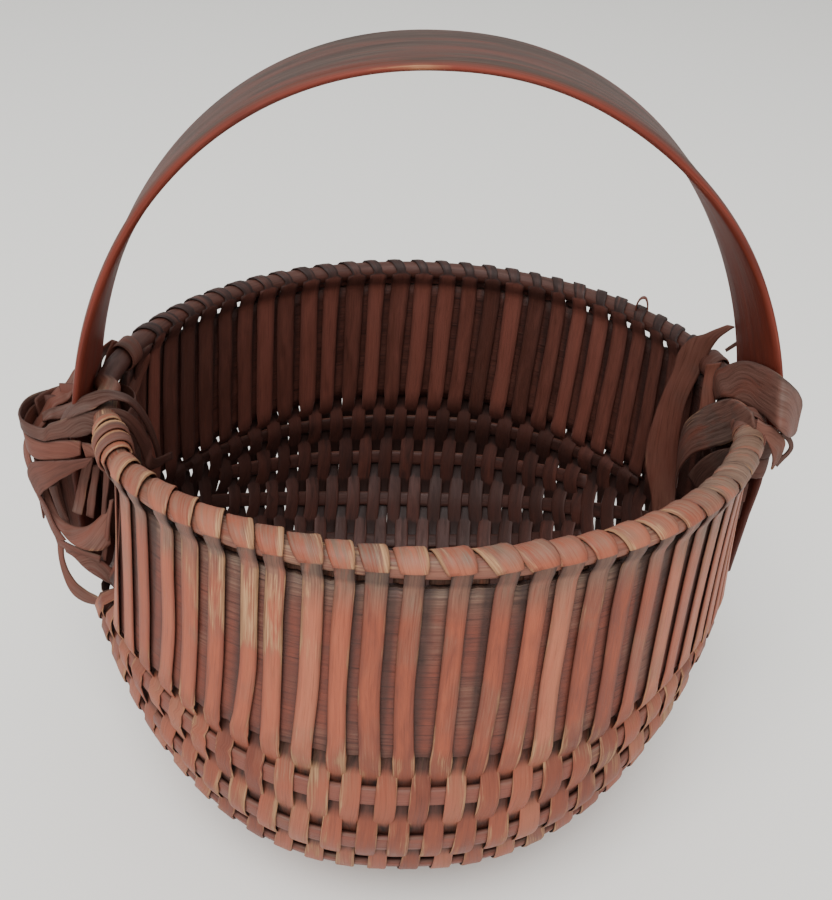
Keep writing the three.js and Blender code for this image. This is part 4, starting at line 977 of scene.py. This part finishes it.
# Single turns round the rim rod, by their distance from the middle of the ear
rimRings = {
    "left": [
        {"side": "front", "place": 29.5, "radius": 4.6, "width": 3.8, "slant": 3, "rubbed": 0.7},
        {"side": "front", "place": 34.5, "radius": 4.5, "width": 4.2, "slant": 3, "rubbed": 0.8},
        {"side": "back", "place": 18.5, "radius": 3.8, "width": 6.4, "slant": 2.5, "rubbed": 0},
    ],
    "right": [
        {"side": "front", "place": 15.5, "radius": 4.4, "width": 4.4, "slant": 2, "rubbed": 0.1},
        {"side": "front", "place": 20.5, "radius": 4, "width": 4.2, "slant": 2, "rubbed": 0.2},
        {"side": "back", "place": 18.5, "radius": 3.7, "width": 6.4, "slant": 2, "rubbed": 0},
    ],
}
rimRing = {"points": 24, "tones": (0.3, 0.7), "wear": 0.12, "rubbedFrom": 0.2, "rubbedFade": 2, "dust": 0.35,
           "soot": 0.1}


def smoothThrough(points, samples):
    points = np.array(points, float)
    padded = np.concatenate([2 * points[:1] - points[1:2], points, 2 * points[-1:] - points[-2:-1]])
    share = np.arange(samples)[:, None] / samples
    pieces = []
    for before, here, after, beyond in zip(padded, padded[1:], padded[2:], padded[3:]):
        straight, curved = after - before, 2 * before - 5 * here + 4 * after - beyond
        twisted = 3 * here - before - 3 * after + beyond
        pieces.append((2 * here + straight * share + curved * share**2 + twisted * share**3) / 2)
    return np.concatenate([*pieces, points[-1:]])


def layStrap(heap, ear, dust, first, second):
    first, second = (smoothThrough(edge, ears["samples"]) * (ear, 1, 1) + (ear * ears["fromMiddle"], 0, 0)
                     for edge in (first, second))
    centres, across = (first + second) / 2, second - first
    widths = np.maximum(np.linalg.norm(across, axis=1), ears["narrowest"])
    widths = widths * (1 + ears["uneven"] * wavering(np.linspace(0, 1, len(centres)), 0, 1, ears["unevenKnots"]))
    # Painted shade along the edges, and with the inside paint where it goes down inside and all over where it is
    # hidden
    deep = np.maximum(ease((ears["deepFrom"] - ear * centres[:, :1]) / ears["deepFade"]), dust <= ears["hiddenDust"])
    coat = {"tone": chance.uniform(*ears["tones"]),
            "wear": ears["wear"] + ears["edgeWear"] * bevelledEdge ** ears["edgeSharp"],
            "inner": ears["deepInner"] * deep, "dust": dust * mix(1, ears["deepDust"], deep),
            "soot": ears["soot"] + ears["edgeShade"] * nearEdge(6) + ears["deepShade"] * deep}
    sweep(heap, centres, across, widths, ears["thickness"], bevelled, coat,
          grainStart=chance.uniform(0, grainShift), squared=False)


def windRound(heap, ear, bundle, level, start, end):
    closed = end - start >= 360
    turn = np.radians(np.linspace(start, end, winding["points"], endpoint=not closed))
    cosine, sine = np.cos(turn), np.sin(turn)
    reach = np.where(cosine > 0, bundle["reachOut"], bundle["reachIn"])
    power = winding["squareness"]
    radius = ((np.abs(cosine) / reach) ** power + (np.abs(sine) / bundle["halfWidth"]) ** power) ** (-1 / power)
    slant = bundle["slant"] * chance.uniform(-1, 1) * np.sin(turn + chance.uniform(0, wholeTurn))
    centres = np.stack([ear * (ears["fromMiddle"] + radius * cosine), radius * sine, level + slant], -1)
    centres[:, 0] += body["sidewaysLean"] * min(level, 0)
    across = np.tile([0.0, 0.0, 1.0], (len(centres), 1))
    coat = {"tone": chance.uniform(*winding["tones"]), "wear": winding["wear"], "inner": winding["inner"],
            "dust": chance.uniform(*winding["dust"]), "soot": winding["soot"]}
    sweep(heap, centres, across, bundle["width"], ears["thickness"], bevelled, coat, closed,
          chance.uniform(0, grainShift))


def ringRoundRim(heap, ear, ring):
    side = sides[ring["side"]]
    turn = np.arange(rimRing["points"]) * wholeTurn / rimRing["points"]
    fromEar = np.arcsin((ring["place"] + ring["slant"] * np.cos(turn) / 2) / side["rimHalfWidth"])
    angle = fromEar if ear > 0 else math.pi - fromEar
    along, outward = rimFrame(side, angle)
    centres = bodyPoint(side, 0, angle) + ring["radius"] * roundRod(outward, turn)
    rubbed = ease((bevelled[:, 0] * 2 - rimRing["rubbedFrom"]) * rimRing["rubbedFade"])
    coat = {"tone": chance.uniform(*rimRing["tones"]), "wear": rimRing["wear"] + ring["rubbed"] * rubbed,
            "dust": rimRing["dust"], "soot": rimRing["soot"]}
    sweep(heap, centres, along, ring["width"], ears["thickness"], bevelled, coat, True, chance.uniform(0, grainShift))


def tieOn(heap, earName, called, node):
    heapToPiece(heap, f"{earName}_ear_{called}", wrapSplint, [f"ear_{earName}_{node}"])


def lashEar(earName, ear, straps):
    for name, parts in straps.items():
        heap = newHeap()
        for strap in parts:
            layStrap(heap, ear, *strap)
        if name == "lashing_under":
            for turn in windings[earName]["turns"]:
                windRound(heap, ear, windings[earName], *turn)
        tieOn(heap, earName, name, name)
    if "lowerTurns" in windings[earName]:
        heap = newHeap()
        for turn in windings[earName]["lowerTurns"]:
            windRound(heap, ear, windings[earName], *turn)
        tieOn(heap, earName, "lower_turns", "strap_lower")
    for sideName in sides:
        heap = newHeap()
        for ring in rimRings[earName]:
            if ring["side"] == sideName:
                ringRoundRim(heap, ear, ring)
        tieOn(heap, earName, f"{sideName}_rim_rings", f"rim_turn_{sideName}")


lashEar("right", 1, rightEar)
lashEar("left", -1, leftEar)
print("ears lashed")


# A thin end of a weaver has sprung up in a small loop on the back rim
sprung = {
    "path": [(69.6, 51.5, 1), (69.4, 51, 4.5), (70.2, 50.5, 7), (71.8, 50.5, 7.2), (72.8, 50.5, 5), (73, 50.5, 2)],
    "samples": 8, "across": (0.3, 1.0, 0.0), "width": 1.9, "thickness": 0.5,
    # Darkened with the inside paint and painted shade, like the back of the rim
    "coat": {"tone": 0.2, "inner": 0.5, "soot": 0.3},
}


def makeSprungLoop():
    centres = smoothThrough(sprung["path"], sprung["samples"])
    across = np.tile(sprung["across"], (len(centres), 1))
    heap = newHeap()
    sweep(heap, centres, across, sprung["width"], sprung["thickness"], bevelled, sprung["coat"])
    heapToPiece(heap, "sprung_weaver_loop", wovenSplint, [])


makeSprungLoop()


# Floor and light. Places and sizes here are in metres
studio = {
    "floorSize": 14, "floor": "#F3F1EC", "floorRoughness": 0.9, "floorSpecular": 0.15,
    "keySize": 1.6, "keyPower": 50, "keyPlace": (-0.3, -1.05, 1.85), "sky": 0.92, "skyColour": "#F5F6F6",
}


def makeFloor():
    half = studio["floorSize"] / 2
    mesh = bpy.data.meshes.new("floor")
    mesh.from_pydata([(-half, -half, 0), (half, -half, 0), (half, half, 0), (-half, half, 0)], [], [(0, 1, 2, 3)])
    material = bpy.data.materials.new("paleMattFloor")
    material.use_nodes = True
    shader = material.node_tree.nodes["Principled BSDF"]
    shader.inputs["Base Color"].default_value = srgbToLinear(studio["floor"])
    shader.inputs["Roughness"].default_value = studio["floorRoughness"]
    shader.inputs["Specular IOR Level"].default_value = studio["floorSpecular"]
    mesh.materials.append(material)
    floor = bpy.data.objects.new("floor", mesh)
    bpy.context.scene.collection.objects.link(floor)


def makeLight():
    light = bpy.data.lights.new("softKey", "AREA")
    light.shape = "DISK"
    light.size = studio["keySize"]
    light.energy = studio["keyPower"]
    lamp = bpy.data.objects.new("softKey", light)
    aim = unit(-np.array(studio["keyPlace"]))
    lamp.matrix_world = placeByAxes(*levelAxes(aim), -aim, studio["keyPlace"])
    bpy.context.scene.collection.objects.link(lamp)
    world = bpy.data.worlds.new("paleSky")
    world.use_nodes = True
    sky = world.node_tree.nodes["Background"]
    sky.inputs["Color"].default_value = srgbToLinear(studio["skyColour"])
    sky.inputs["Strength"].default_value = studio["sky"]
    bpy.context.scene.world = world


makeFloor()
makeLight()
print("floor and light set")
